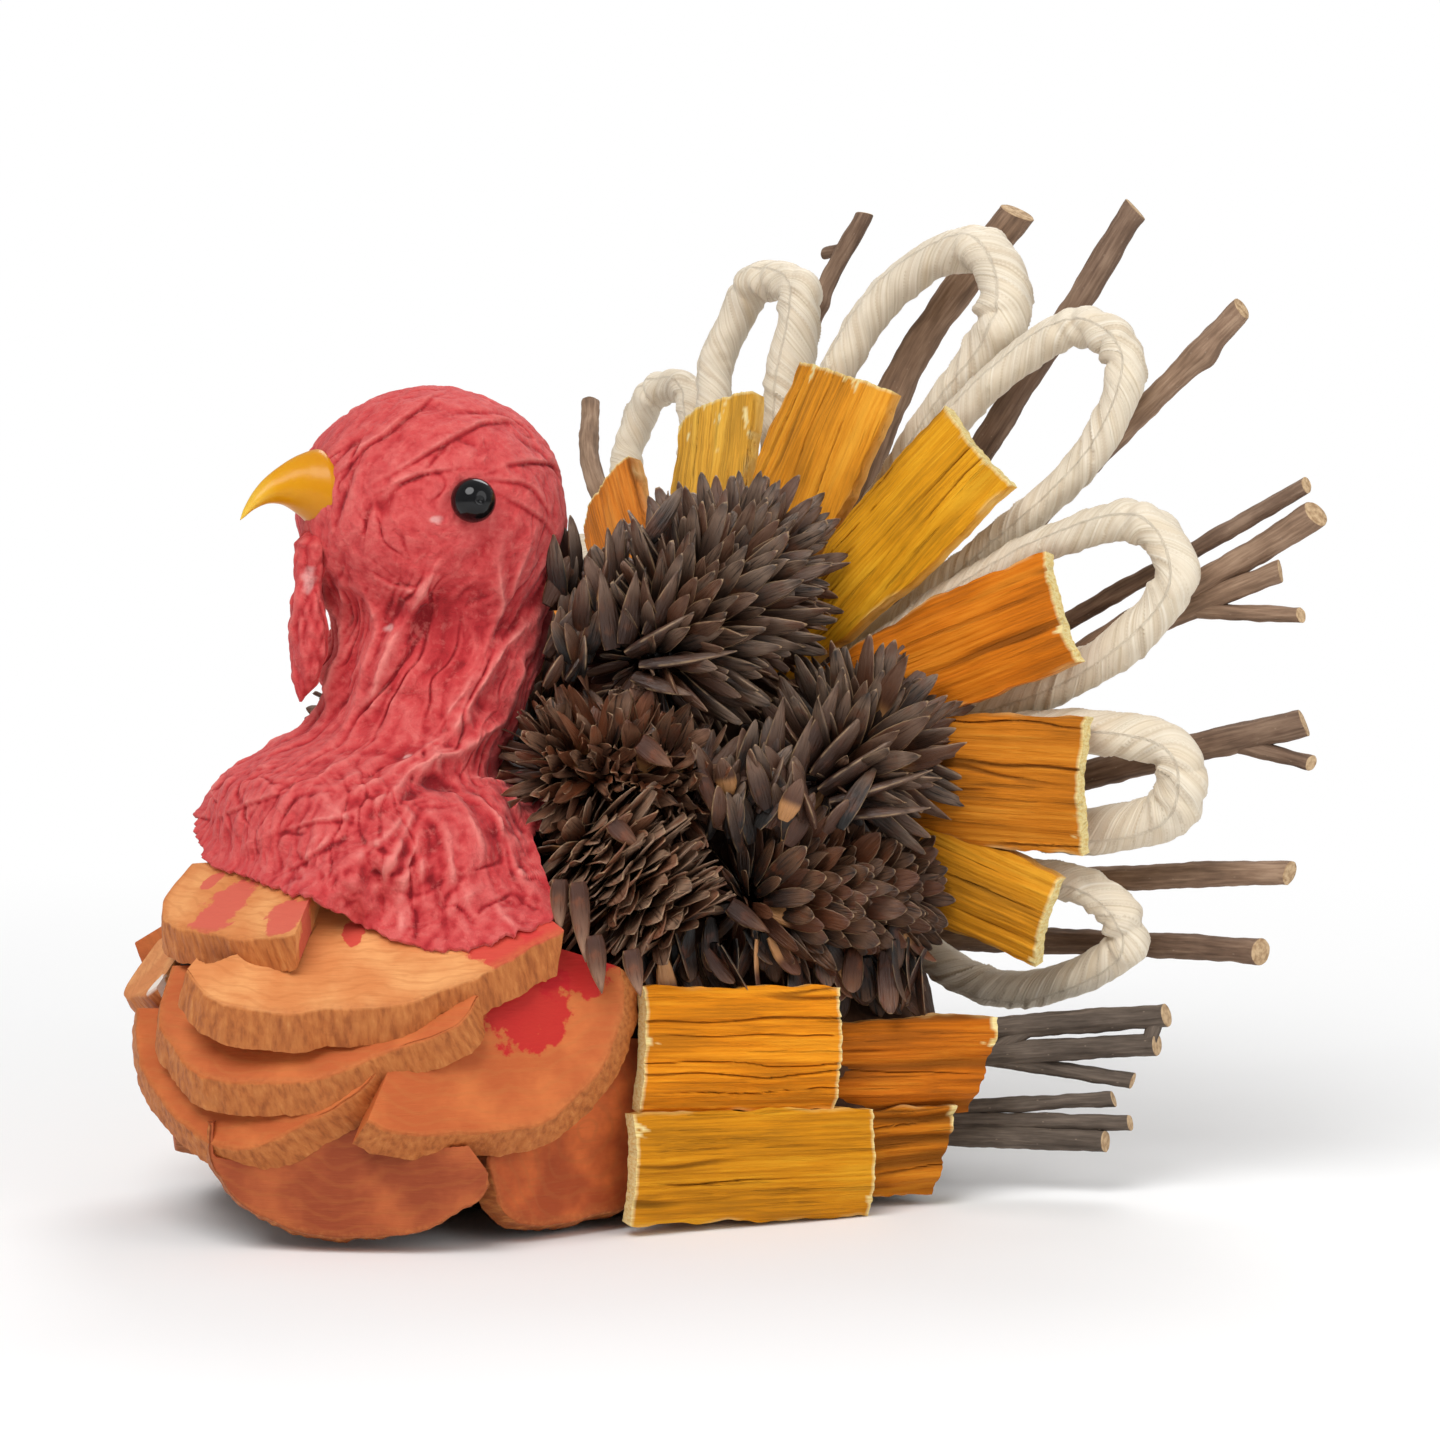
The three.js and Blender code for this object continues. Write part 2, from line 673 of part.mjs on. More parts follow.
// Wing strips on the bird's left, each with its ends on its centre line as wing places
const WING_STRIPS = [
  { name: 'wing_strip_upper', from: [3.5, -15, 34], to: [15, 21, 32], width: 23 },
  { name: 'wing_strip_lower', from: [4.5, -19.5, 12.4], to: [17.5, 27, 10.4], width: 20.5 },
  { name: 'wing_strip_rear_upper', from: [7, 20, 27.5], to: [22, 54, 26.5], width: 15.5 },
  { name: 'wing_strip_rear_lower', from: [8, 22, 10], to: [20, 46, 11], width: 14 },
];

function wingStrip({ from, to, width }, side = 1) {
  return barkStrip({
    from: wingPlace(from, side),
    to: wingPlace(to, side),
    out: vec(side, 0, 0),
    widthFrom: width,
    widthTo: width,
    thickness: WING_THICKNESS,
    crown: WING_CROWN,
  });
}

// Rods, twigs and rope loops

// A round rod along a smooth line, with a radius at each of its points
function rod(points, radii, sides = TWIG_SIDES) {
  const curve = new THREE.CatmullRomCurve3(points);
  const steps = (points.length - 1) * 2;
  const frames = curve.computeFrenetFrames(steps, false);
  const rings = Array.from({ length: steps + 1 }, (_, i) => {
    const centre = curve.getPointAt(i / steps);
    const radius = along(radii, i / steps);
    return Array.from({ length: sides }, (_unused, j) => {
      const turn = j * 2 * Math.PI / sides;
      return centre.clone()
        .addScaledVector(frames.normals[i], Math.cos(turn) * radius)
        .addScaledVector(frames.binormals[i], Math.sin(turn) * radius);
    });
  });
  return loft(rings);
}

// Tail loops: rope diameter, and the rope's line as [angle, distance] places on the tail's cone
const TAIL_LOOPS = [
  {
    name: 'tail_loop_1',
    rope: 7.5,
    line: [[141, 28], [143.8, 72.8], [140.3, 102.7], [132.4, 107.5], [125.9, 97.6], [131, 67.1], [124, 28]],
  },
  {
    name: 'tail_loop_2',
    rope: 9,
    line: [[113, 32], [117, 71.2], [116.6, 97.2], [109.2, 109.3], [102.2, 103.8], [102.5, 81.7], [99, 32]],
  },
  {
    name: 'tail_loop_3',
    rope: 9,
    line: [[86, 32], [87.4, 79.9], [81.9, 102.7], [72.1, 113.9], [64.7, 103.8], [67.1, 77.1], [69, 32]],
  },
  {
    name: 'tail_loop_4',
    rope: 8.2,
    line: [[59, 32], [59.4, 89.2], [54.1, 112.5], [47.9, 114.6], [42.8, 100.5], [41.1, 65.2], [43, 32]],
  },
  {
    name: 'tail_loop_5',
    rope: 8.4,
    line: [[33, 32], [34, 83.8], [29.6, 102.9], [22.6, 102.9], [16.1, 83.7], [12.7, 56.4], [17, 32]],
  },
  {
    name: 'tail_loop_6',
    rope: 9.4,
    line: [[3, 32], [6, 82.7], [2.9, 98.7], [-3.4, 97.8], [-7.8, 83.7], [-10.6, 60.6], [-10, 32]],
  },
  {
    name: 'tail_loop_7',
    rope: 8,
    line: [[-25, 32], [-18.6, 64.7], [-16.7, 85.8], [-21.1, 92.5], [-28.9, 86.3], [-41.9, 70], [-52, 40]],
  },
];
const RIGHT_LOOPS = {
  name: 'tail_loops_right',
  rope: 7.6,
  line: [
    [157, 33], [155, 78], [156, 103], [162, 104], [166, 82], [167, 58],
    [172.5, 47], [178, 58], [178, 84], [181, 102], [187, 102], [190, 82], [191, 58],
    [196.5, 47], [202, 58], [201, 78], [204, 94], [210, 92], [213, 70], [217, 36],
  ],
};

// Each loop leans: its first leg lies in front and its last leg behind
function rope(line, diameter, backY = LOOP_BACK_Y) {
  const last = line.length - 1;
  const curve = new THREE.CatmullRomCurve3(line.map(([angle, distance], i) => (
    fanPoint(mix(LOOP_FRONT_Y, backY, i / last), angle, distance)
  )));
  const section = new THREE.Shape();
  for (let j = 0; j < ROPE_SIDES; j += 1) {
    const turn = j * 2 * Math.PI / ROPE_SIDES;
    const corner = [Math.cos(turn) * diameter / 2, Math.sin(turn) * diameter / 2];
    if (j === 0) section.moveTo(...corner);
    else section.lineTo(...corner);
  }
  const steps = Math.round(ROPE_STEPS * line.length / 7);
  const options = { steps, bevelEnabled: false, extrudePath: curve };
  return toSolid(new THREE.ExtrudeGeometry(section, options));
}

// Tail sticks: root and tip as [angle, distance] places, and the diameters at each end
const TAIL_STICKS = [
  { name: 'tail_stick_1', root: [168, 24], tip: [146.2, 140.0], tipY: 50, thick: [5, 4.4] },
  {
    name: 'tail_stick_2',
    root: [118, 22], bend: [106.6, 99], tip: [99.4, 120.8], thick: [5, 4],
    knot: true,
  },
  { name: 'tail_stick_3', root: [88, 20], bend: [83.8, 83.4], tip: [75.7, 120.8], thick: [7.5, 7.2] },
  { name: 'tail_stick_4', root: [56, 24], tip: [62.3, 131.7], thick: [6, 5.4] },
  { name: 'tail_stick_5', root: [36, 22], tip: [45.8, 131.6], thick: [5.4, 4.8] },
  { name: 'tail_stick_6', root: [15, 26], tip: [27.7, 125.8], thick: [4, 3.4] },
  {
    name: 'tail_stick_7',
    root: [-8, 26], tip: [24.8, 125.7], thick: [6.2, 5.4],
    forks: [[0.55, [20.9, 115.6], 4.8], [0.66, [16.1, 117.5], 3.4]],
  },
  {
    name: 'tail_stick_8',
    root: [-30, 28], tip: [5.6, 115.4], thick: [6.4, 5.8],
    forks: [[0.82, [1.4, 116.4], 3.4]],
  },
  { name: 'tail_stick_9', root: [-52, 36], tip: [-9.7, 113.6], thick: [5.6, 5] },
  { name: 'tail_stick_10', root: [-62, 44], tip: [-18.8, 111.3], thick: [5.6, 5] },
];
const RIGHT_STICK = {
  name: 'tail_sticks_right',
  root: [190, 26],
  tip: [162, 118],
  thick: [6, 4.6],
  forks: [[0.1, [179, 116], 5], [0.05, [196, 114], 5]],
};

function stickPlace([angle, distance], apexY = STICK_APEX_Y) {
  return fanPoint(apexY, angle, distance);
}

// A twig through three places, or the hole for it when there is a gap
function twig(from, middle, to, thickFrom, thickTo, gap) {
  const sizes = [thickFrom, mix(thickFrom, thickTo, 0.5), thickTo];
  const radii = sizes.map((size) => size / 2 + gap * 1.2);
  const ahead = middle.clone().sub(from).normalize();
  const behind = from.clone().addScaledVector(ahead, -gap);
  return toSolid(rod([behind, middle, to], radii));
}

function straightTwig(from, to, thickFrom, thickTo, gap) {
  return twig(from, from.clone().lerp(to, 0.5), to, thickFrom, thickTo, gap);
}

function tailStick({ root, tip, tipY, thick, bend = null, forks = [], knot = false }, gap = 0) {
  const [from, to] = [stickPlace(root), stickPlace(tip, tipY)];
  const middle = bend ? stickPlace(bend) : from.clone().lerp(to, 0.5);
  const pieces = [twig(from, middle, to, thick[0], thick[1], gap)];
  forks.forEach(([start, end, size]) => {
    pieces.push(straightTwig(from.clone().lerp(to, start), stickPlace(end), size, size, gap));
  });
  if (knot) {
    const bead = new THREE.SphereGeometry(thick[1] * 0.85, 6, 4);
    pieces.push(toSolid(bead.translate(middle.x, middle.y, middle.z)));
  }
  return join(...pieces);
}

// Wing twigs on the bird's left: lines as [from, to, diameter], with the ends as wing places
const UPPER_FORK = {
  lines: [
    [[-10, 46, 28], [40, 83, 35], 4.2],
    [[-9, 45, 23.5], [39, 81.5, 29.6], 3.8],
    [[10, 59.5, 26], [34, 80, 22], 2.9],
    [[19, 67.5, 32], [13, 62, 26.3], 3],
  ],
};
const LOWER_FORK = {
  lines: [
    [[-9, 44, 14], [32, 77, 18.5], 2.6],
    [[-9, 43, 12.6], [35, 78.4, 14.2], 2.8],
    [[-9, 42, 11], [32, 74.7, 10.5], 3.6],
  ],
};
const WING_FORKS = [
  ['wing_twig_upper', UPPER_FORK, 1],
  ['wing_twig_lower', LOWER_FORK, 1],
  ['wing_twig_right', UPPER_FORK, -1],
];

function wingTwig({ lines }, side, gap = 0) {
  const solids = lines.map(([from, to, size]) => straightTwig(
    wingPlace(from, side),
    wingPlace(to, side),
    size,
    size,
    gap,
  ));
  return join(...solids);
}

// Assembly: inner pieces are cut to take the outer ones, with the clearance between them

const turkey = new THREE.Group();

function finish(color, roughness, metalness = 0) {
  return new THREE.MeshStandardMaterial({ color, roughness, metalness });
}

const FINISHES = {
  foam: finish(0x4b382b, 0.95),
  paper: finish(0xcf4a52, 0.85),
  beak: finish(0xf0a524, 0.3),
  bead: finish(0x0a0b0d, 0.12),
  slice: finish(0xc9743a, 0.7),
  cone: finish(0x37271d, 0.6),
  bark: finish(0xd18a1e, 0.75),
  rope: finish(0xe8dcc2, 0.7),
  stick: finish(0x6a5344, 0.85),
};

function add(name, solid, material) {
  const mesh = new THREE.Mesh(toGeometry(solid), material);
  mesh.name = name;
  turkey.add(mesh);
  return solid;
}

const ground = underGround();
const foamForm = foamBody();
const foamSpace = grown(foamForm);

// Slices on the breast
const slices = [];
for (const spec of SLICES) {
  const tools = [foamSpace, ground, ...slices.map((slice) => grown(slice))];
  slices.push(add(spec.name, cut(woodSlice(spec), tools), FINISHES.slice));
}
const rightSlices = cut(join(...RIGHT_SLICES.map((spec) => woodSlice(spec))), [
  foamSpace,
  ground,
  ...slices.map((slice) => grown(slice)),
]);
slices.push(add('slices_right', rightSlices, FINISHES.slice));
const sliceSpaces = slices.map((slice) => grown(slice));

// Head, paper and face
const core = add('head_core', cut(headCore(), [foamSpace]), FINISHES.foam);
const wrapForm = headWrapForm();
add('head_wrap', cut(wrapForm, [grown(core), foamSpace, ...sliceSpaces]), FINISHES.paper);
const wrapSpace = grown(wrapForm);
add('beak', cut(beak(), [wrapSpace]), FINISHES.beak);
add('eye_left', cut(eye(HEAD_TURN + EYE_ANGLE), [wrapSpace]), FINISHES.bead);
add('eye_right', cut(eye(HEAD_TURN - EYE_ANGLE), [wrapSpace]), FINISHES.bead);
add('snood', cut(snood(), [wrapSpace]), FINISHES.paper);

// Tail fan
const sockets = [];
const stripSpaces = [];
for (const spec of TAIL_STRIPS) {
  const strip = cut(tailStrip(spec), stripSpaces);
  add(spec.name, strip, FINISHES.bark);
  stripSpaces.push(grown(strip));
}
const rightStrips = join(...RIGHT_STRIPS.map((spec) => tailStrip(spec, RIGHT_ROOT_WIDTH)));
const rightFan = add('tail_strips_right', cut(rightStrips, stripSpaces), FINISHES.bark);
stripSpaces.push(grown(rightFan));
const loops = TAIL_LOOPS.map((spec) => add(spec.name, rope(spec.line, spec.rope), FINISHES.rope));
const rightRope = rope(RIGHT_LOOPS.line, RIGHT_LOOPS.rope, LOOP_FRONT_Y);
loops.push(add(RIGHT_LOOPS.name, rightRope, FINISHES.rope));
sockets.push(...stripSpaces, ...loops.map((loop) => grown(loop)));
for (const spec of [...TAIL_STICKS, RIGHT_STICK]) {
  add(spec.name, tailStick(spec), FINISHES.stick);
  sockets.push(tailStick(spec, FIT_GAP));
}

// Wings
const twigSpaces = [];
for (const [name, spec, side] of WING_FORKS) {
  add(name, wingTwig(spec, side), FINISHES.stick);
  twigSpaces.push(wingTwig(spec, side, FIT_GAP));
}
sockets.push(...twigSpaces);
const wingTools = [foamSpace, ground, ...sliceSpaces, ...twigSpaces];
const wingSpaces = [];
for (const spec of WING_STRIPS) {
  const strip = cut(wingStrip(spec), [...wingTools, ...wingSpaces]);
  add(spec.name, strip, FINISHES.bark);
  wingSpaces.push(grown(strip));
}
const rightWing = join(wingStrip(WING_STRIPS[0], -1), wingStrip(WING_STRIPS[1], -1));
wingSpaces.push(grown(add('wing_strips_right', cut(rightWing, wingTools), FINISHES.bark)));

// Cones
const coneTools = [foamSpace, wrapSpace, ...sliceSpaces, ...wingSpaces];
for (const set of [CONES, RIGHT_CONES]) {
  for (const spec of set) {
    const tools = [...coneTools, tailLimit(spec), ...coneLimits(spec, set)];
    add(spec.name, cut(cone(spec), tools), FINISHES.cone);
  }
}

add('foam_body', cut(foamForm, sockets), FINISHES.foam);

export default turkey;
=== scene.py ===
"""Turkey figure of natural materials: its looks, piece by piece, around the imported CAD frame.

Lengths are in millimetres while a shape is worked out and become metres when its mesh is made.
+X is the bird's left, -Y its front and +Z is up. Angles are in degrees. Colours are as they look on a
screen, 0 to 255.
"""

import itertools
import math
import zlib

import bpy
import numpy as np
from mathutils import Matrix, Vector


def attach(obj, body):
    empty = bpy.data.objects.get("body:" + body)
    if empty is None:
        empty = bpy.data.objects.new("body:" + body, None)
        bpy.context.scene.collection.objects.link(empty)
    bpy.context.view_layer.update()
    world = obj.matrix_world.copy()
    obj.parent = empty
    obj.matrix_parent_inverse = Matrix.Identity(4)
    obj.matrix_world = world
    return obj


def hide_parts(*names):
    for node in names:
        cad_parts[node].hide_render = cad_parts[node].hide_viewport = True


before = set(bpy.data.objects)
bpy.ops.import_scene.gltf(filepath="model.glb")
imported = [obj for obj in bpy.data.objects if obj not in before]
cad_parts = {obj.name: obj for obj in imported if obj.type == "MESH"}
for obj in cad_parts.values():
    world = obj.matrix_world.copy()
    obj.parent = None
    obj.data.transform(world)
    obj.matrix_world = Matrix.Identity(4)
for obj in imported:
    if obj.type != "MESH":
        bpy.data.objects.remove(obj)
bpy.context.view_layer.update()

MM = 0.001
FULL_TURN = 2 * math.pi

# Driving sizes, the same as the part's
CHEST = np.array([0.0, -38.0, 40.0])
CHEST_RADIUS = 42.0
HEAD = np.array([0.0, -25.5, 131.0])
HEAD_RADIUS = 25.5
HEAD_HALF_HEIGHT = 23.6
HEAD_TURN = -10.0
NECK_RADIUS = 19.8
NECK_FOOT = np.array([0.0, -33.0, 84.0])
NECK_BEND = 5.2
SKIRT_LIFT = 8.0
BEAK_HEIGHT = 13.8
EYE_RADIUS = 4.0
EYE_ANGLE = 81.0
EYE_RISE = 2.6
TAIL_Z = 81.0
TAIL_LEAN = 20.0
STRIP_APEX_Y = 35.0
STRIP_ROOT = 26.0
STRIP_ROOT_WIDTH = 9.0
LOOP_FRONT_Y = 43.4
LOOP_BACK_Y = 51.4
STICK_APEX_Y = 59.5


# Numbers and shapes

def seed_of(name):
    return zlib.crc32(name.encode()) % 99991


def heading(azimuth, elevation=0.0):
    azimuth, elevation = np.broadcast_arrays(np.radians(azimuth), np.radians(elevation))
    flat = np.cos(elevation)
    return np.stack([np.sin(azimuth) * flat, -np.cos(azimuth) * flat, np.sin(elevation)], -1)


def fan_point(apex_y, angle, distance):
    """A place on the tail's cone, by its angle across the tail and its distance from the apex."""
    turn = math.radians(angle)
    lean = math.radians(TAIL_LEAN)
    out = distance * math.cos(lean)
    return np.array([out * math.cos(turn), apex_y + distance * math.sin(lean), TAIL_Z + out * math.sin(turn)])


def unit(vector):
    vector = np.asarray(vector, float)
    return vector / np.linalg.norm(vector, axis=-1, keepdims=True)


def mix(a, b, t):
    return a + (b - a) * t


def smooth(low, high, value):
    t = np.clip((value - low) / (high - low), 0, 1)
    return t * t * (3 - 2 * t)


# Numbers that scatter the cells of the noise, and the shifts and factors that stir their bits
CELL_PRIMES = np.array([73856093, 19349663, 83492791])
BIT_STIRS = ((15, 2246822519), (13, 3266489917))
LOW_BITS = 0xFFFF
ALL_BITS = 0xFFFFFFFF
CRINKLE_WIDTH = 0.09
LINE_STEPS = 48


def noise(points, size, seed):
    """Smooth random field, about -1 to 1, with features of the given size."""
    grid = np.asarray(points, float).reshape(-1, 3) / size
    base = np.floor(grid).astype(np.int64)
    part = grid - base
    fade = part ** 3 * (part * (part * 6 - 15) + 10)
    total = np.zeros(len(grid))
    for corner in itertools.product((0, 1), repeat=3):
        cell = base + np.array(corner)
        key = np.bitwise_xor.reduce(cell * CELL_PRIMES, axis=1) ^ (seed * 40503 + 977)
        for shift, factor in BIT_STIRS:
            key = ((key ^ (key >> shift)) * factor) & ALL_BITS
        turn = (key & LOW_BITS) * (FULL_TURN / 65536)
        rise = ((key >> 16) & LOW_BITS) / 32768.0 - 1
        flat = np.sqrt(np.maximum(1 - rise * rise, 0))
        step = part - np.array(corner)
        slope = step[:, 0] * flat * np.cos(turn) + step[:, 1] * flat * np.sin(turn) + step[:, 2] * rise
        share = np.where(np.array(corner) == 1, fade, 1 - fade).prod(axis=1)
        total += share * slope
    return total * 1.6


def layers(points, size, count, seed):
    """Noise in several halving sizes."""
    return sum(noise(points, size / 2 ** i, seed + 31 * i) / 2 ** i for i in range(count))


def billow(points, size, seed):
    """Rounded swellings, 0 to about 1, with sharp creases between them."""
    return np.abs(noise(points, size, seed)) * 1.6


def crumple(points, size, count, seed):
    """Flat patches that meet in straight ridges and valleys, about -1 to 1, as in crumpled paper."""
    rng = np.random.default_rng(seed)
    total = np.zeros(len(points))
    for i in range(count):
        way = unit(rng.normal(size=3))
        wave = points @ way / (size * rng.uniform(0.75, 1.5))
        wave = wave + 0.45 * noise(points, size * 2.4, seed + i) + rng.random()
        fold = 1 - 2 * np.abs(np.mod(wave, 1) * 2 - 1)
        total += fold * smooth(-0.4, 0.4, noise(points, size * 1.8, seed + 40 + i))
    return total / math.sqrt(count)


def crinkle(points, size, seed):
    """Thin sunken lines, 0 to -1."""
    return -np.exp(-(noise(points, size, seed) / CRINKLE_WIDTH) ** 2)


def fields(kind, points, *terms):
    """Sum of random fields of one kind, each given as its weight and then the kind's own values."""
    return sum(weight * kind(points, *rest) for weight, *rest in terms)


def lot_of(number):
    """A share from 0 to 1 for each number, as if drawn by lot."""
    return np.mod(np.sin(number * 12.9898) * 43758.5453, 1.0)


def circle(count):
    """Angles evenly round a circle."""
    return np.linspace(0, FULL_TURN, count, endpoint=False)


def line_through(points, count):
    """Evenly spaced places along a smooth line through the points."""
    p = np.asarray(points, float)
    p = np.vstack([2 * p[0] - p[1], p, 2 * p[-1] - p[-2]])
    fine = []
    for a, b, c, d in zip(p, p[1:], p[2:], p[3:]):
        t1 = np.linalg.norm(b - a) ** 0.5
        t2 = t1 + np.linalg.norm(c - b) ** 0.5
        t3 = t2 + np.linalg.norm(d - c) ** 0.5
        t = np.linspace(t1, t2, LINE_STEPS, endpoint=False)[:, None]
        low = (t1 - t) / t1 * a + t / t1 * b
        middle = (t2 - t) / (t2 - t1) * b + (t - t1) / (t2 - t1) * c
        high = (t3 - t) / (t3 - t2) * c + (t - t2) / (t3 - t2) * d
        first = (t2 - t) / t2 * low + t / t2 * middle
        second = (t3 - t) / (t3 - t1) * middle + (t - t1) / (t3 - t1) * high
        fine.append((t2 - t) / (t2 - t1) * first + (t - t1) / (t2 - t1) * second)
    fine = np.vstack(fine + [p[-2][None]])
    gone = np.concatenate([[0], np.cumsum(np.linalg.norm(np.diff(fine, axis=0), axis=1))])
    at = np.linspace(0, gone[-1], count)
    return np.stack([np.interp(at, gone, fine[:, k]) for k in range(3)], 1), at


def frames_along(line):
    """Direction, and two directions across it, at each place of a line, without twist."""
    ahead = unit(np.gradient(line, axis=0))
    across = np.zeros_like(line)
    start = np.array([0.0, -1.0, 0.0])
    for i, direction in enumerate(ahead):
        start = start - direction * (start @ direction)
        start = start / np.linalg.norm(start)
        across[i] = start
    return ahead, across, np.cross(ahead, across)


def rolled(radius, turn, rise):
    """Places round an upright axis."""
    return np.stack([radius * np.cos(turn), radius * np.sin(turn), rise], -1).reshape(-1, 3)


def tube(centres, across, up, phi, radius):
    """Points round a line, at the angles phi and the given radii."""
    out = across[:, None] * np.cos(phi)[..., None] + up[:, None] * np.sin(phi)[..., None]
    return centres[:, None] + out * radius[..., None]


def grid_faces(rows, columns):
    """Faces between rows of points that go round."""
    i, j = np.meshgrid(np.arange(rows - 1), np.arange(columns), indexing="ij")
    a = i * columns + j
    b = i * columns + (j + 1) % columns
    return np.stack([a, b, b + columns, a + columns], -1).reshape(-1, 4)


def placed(name, data):
    """A new object in the scene."""
    made = bpy.data.objects.new(name, data)
    bpy.context.scene.collection.objects.link(made)
    return made


def hand_over(made, node):
    """Let a piece stand for a node of the frame."""
    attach(made, "root")
    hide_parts(node)


class Shape:
    """Points, faces and values for a piece that is put together from several surfaces."""

    def __init__(self):
        self.points = []
        self.faces = []
        self.values = {}
        self.count = 0

    def add(self, points, faces, **values):
        points = np.asarray(points, float).reshape(-1, 3)
        if isinstance(faces, np.ndarray):
            self.faces.extend((faces + self.count).tolist())
        else:
            self.faces.extend([i + self.count for i in face] for face in faces)
        for key, value in values.items():
            value = np.asarray(value, float)
            if value.ndim == 0:
                value = np.full(len(points), float(value))
            self.values.setdefault(key, []).append(value)
        self.points.append(points)
        self.count += len(points)

    def piece(self, name, look, node, crease=None):
        """Make the mesh and let it stand for the node. Edges sharper than the crease stay sharp."""
        mesh = bpy.data.meshes.new(name)
        mesh.from_pydata((np.concatenate(self.points) * MM).tolist(), [], self.faces)
        mesh.polygons.foreach_set("use_smooth", np.ones(len(mesh.polygons), bool))
        if crease is not None:
            mesh.set_sharp_from_angle(angle=math.radians(crease))
        for key, parts in self.values.items():
            data = np.concatenate(parts)
            kind, field = ("FLOAT_VECTOR", "vector") if data.ndim == 2 else ("FLOAT", "value")
            mesh.attributes.new(key, kind, "POINT").data.foreach_set(field, data.ravel())
        mesh.materials.append(look)
        mesh.update()
        hand_over(placed(name, mesh), node)


# Materials

def tint(red, green, blue):
    """A colour as it looks on a screen, 0 to 255, as shader values."""
    def linear(c):
        c = c / 255
        return c / 12.92 if c <= 0.04045 else ((c + 0.055) / 1.055) ** 2.4
    return (linear(red), linear(green), linear(blue), 1.0)


class Look:
    """One procedural material and its nodes."""

    def __init__(self, name, roughness, **surface):
        self.material = bpy.data.materials.new(name)
        self.material.use_nodes = True
        self.tree = self.material.node_tree
        self.shader = self.tree.nodes["Principled BSDF"]
        self.shader.inputs["Roughness"].default_value = roughness
        for socket, value in surface.items():
            self.shader.inputs[socket.replace("_", " ")].default_value = value

    def node(self, kind, inputs=None, **settings):
        made = self.tree.nodes.new("ShaderNode" + kind)
        for key, value in settings.items():
            setattr(made, key, value)
        for key, value in (inputs or {}).items():
            self.put(made.inputs[key], value)
        return made

    def put(self, socket, value):
        if isinstance(value, bpy.types.NodeSocket):
            self.tree.links.new(value, socket)
        else:
            socket.default_value = tint(*value) if socket.type == "RGBA" else value

    def value(self, name):
        return self.node("Attribute", attribute_name=name).outputs["Fac"]

    def vector(self, name, stretch):
        source = self.node("Attribute", attribute_name=name).outputs["Vector"]
        return self.node("Mapping", {"Vector": source, "Scale": stretch}).outputs["Vector"]

    def place(self):
        return self.node("TexCoord").outputs["Object"]

    def noise(self, vector, scale, detail=2.0, roughness=0.5):
        inputs = {"Vector": vector, "Scale": scale, "Detail": detail, "Roughness": roughness}
        return self.node("TexNoise", inputs).outputs["Fac"]

    def texture(self, name, stretch, detail, roughness=0.5):
        """Noise over a vector that is stored in the mesh."""
        return self.noise(self.vector(name, stretch), 1.0, detail, roughness)

    def cells(self, vector, scale):
        return self.node("TexVoronoi", {"Vector": vector, "Scale": scale}).outputs["Distance"]

    def away(self, name, stretch, middle):
        """Distance of a stored place from a middle."""
        inputs = {0: self.vector(name, stretch), 1: middle}
        return self.node("VectorMath", inputs, operation="DISTANCE").outputs["Value"]

    def math(self, operation, *values):
        return self.node("Math", dict(enumerate(values)), operation=operation).outputs[0]

    def times(self, a, b):
        return self.math("MULTIPLY", a, b)

    def plus(self, a, b):
        return self.math("ADD", a, b)

    def span(self, value, low, high):
        """0 at low, 1 at high, smooth between."""
        inputs = {"Value": value, "From Min": low, "From Max": high}
        return self.node("MapRange", inputs, interpolation_type="SMOOTHSTEP").outputs["Result"]

    def ramp(self, value, *stops):
        made = self.node("ValToRGB", {"Fac": value})
        elements = made.color_ramp.elements
        while len(elements) < len(stops):
            elements.new(0.5)
        for element, (position, colour) in zip(elements, stops):
            element.position = position
            element.color = tint(*colour)
        return made.outputs["Color"]

    def blend(self, share, a, b, amount=1.0):
        """Colour a with b laid over it, by its share and the amount."""
        share = share if amount == 1.0 else self.times(share, amount)
        return self.node("Mix", {0: share, 6: a, 7: b}, data_type="RGBA").outputs[2]

    def bump(self, height, distance):
        made = self.node("Bump", {"Height": height, "Distance": distance * MM, "Strength": 1.0})
        self.put(self.shader.inputs["Normal"], made.outputs["Normal"])

    def colour(self, value):
        self.put(self.shader.inputs["Base Color"], value)
        return self.material


def paper_look():
    look = Look("crinkled_paper", 0.85, Sheen_Weight=0.08, Specular_IOR_Level=0.2)
    place = look.place()
    # The fold value gives painted shade and highlight: dark crimson in the creases and hollows is painted
    # shade, pale coral on the ridges is painted highlight.
    base = look.ramp(
        look.value("fold"),
        (0.0, (118, 10, 20)), (0.3, (172, 42, 47)), (0.55, (198, 72, 72)),
        (0.8, (210, 100, 96)), (1.0, (224, 130, 122)),
    )
    patch = look.span(look.noise(place, 90, 3), 0.35, 0.7)
    base = look.blend(patch, base, (194, 52, 54), 0.3)
    base = look.blend(look.value("glue"), base, (226, 182, 176), 0.6)
    warp = look.node("TexNoise", {"Vector": place, "Scale": 120.0, "Detail": 2.0}).outputs["Color"]
    inputs = {0: warp, 1: (0.006, 0.006, 0.006), 2: place}
    bent = look.node("VectorMath", inputs, operation="MULTIPLY_ADD").outputs[0]
    mottle = look.noise(bent, 430, 4, 0.65)
    base = look.blend(look.span(mottle, 0.5, 0.68), base, (224, 122, 114), 0.3)
    base = look.blend(look.span(mottle, 0.48, 0.32), base, (168, 34, 42), 0.3)
    creased = look.plus(look.times(look.cells(bent, 230), 1.6), mottle)
    fibres = look.times(look.noise(place, 1900, 3, 0.6), 0.5)
    look.bump(look.plus(creased, fibres), 0.42)
    return look.colour(base)


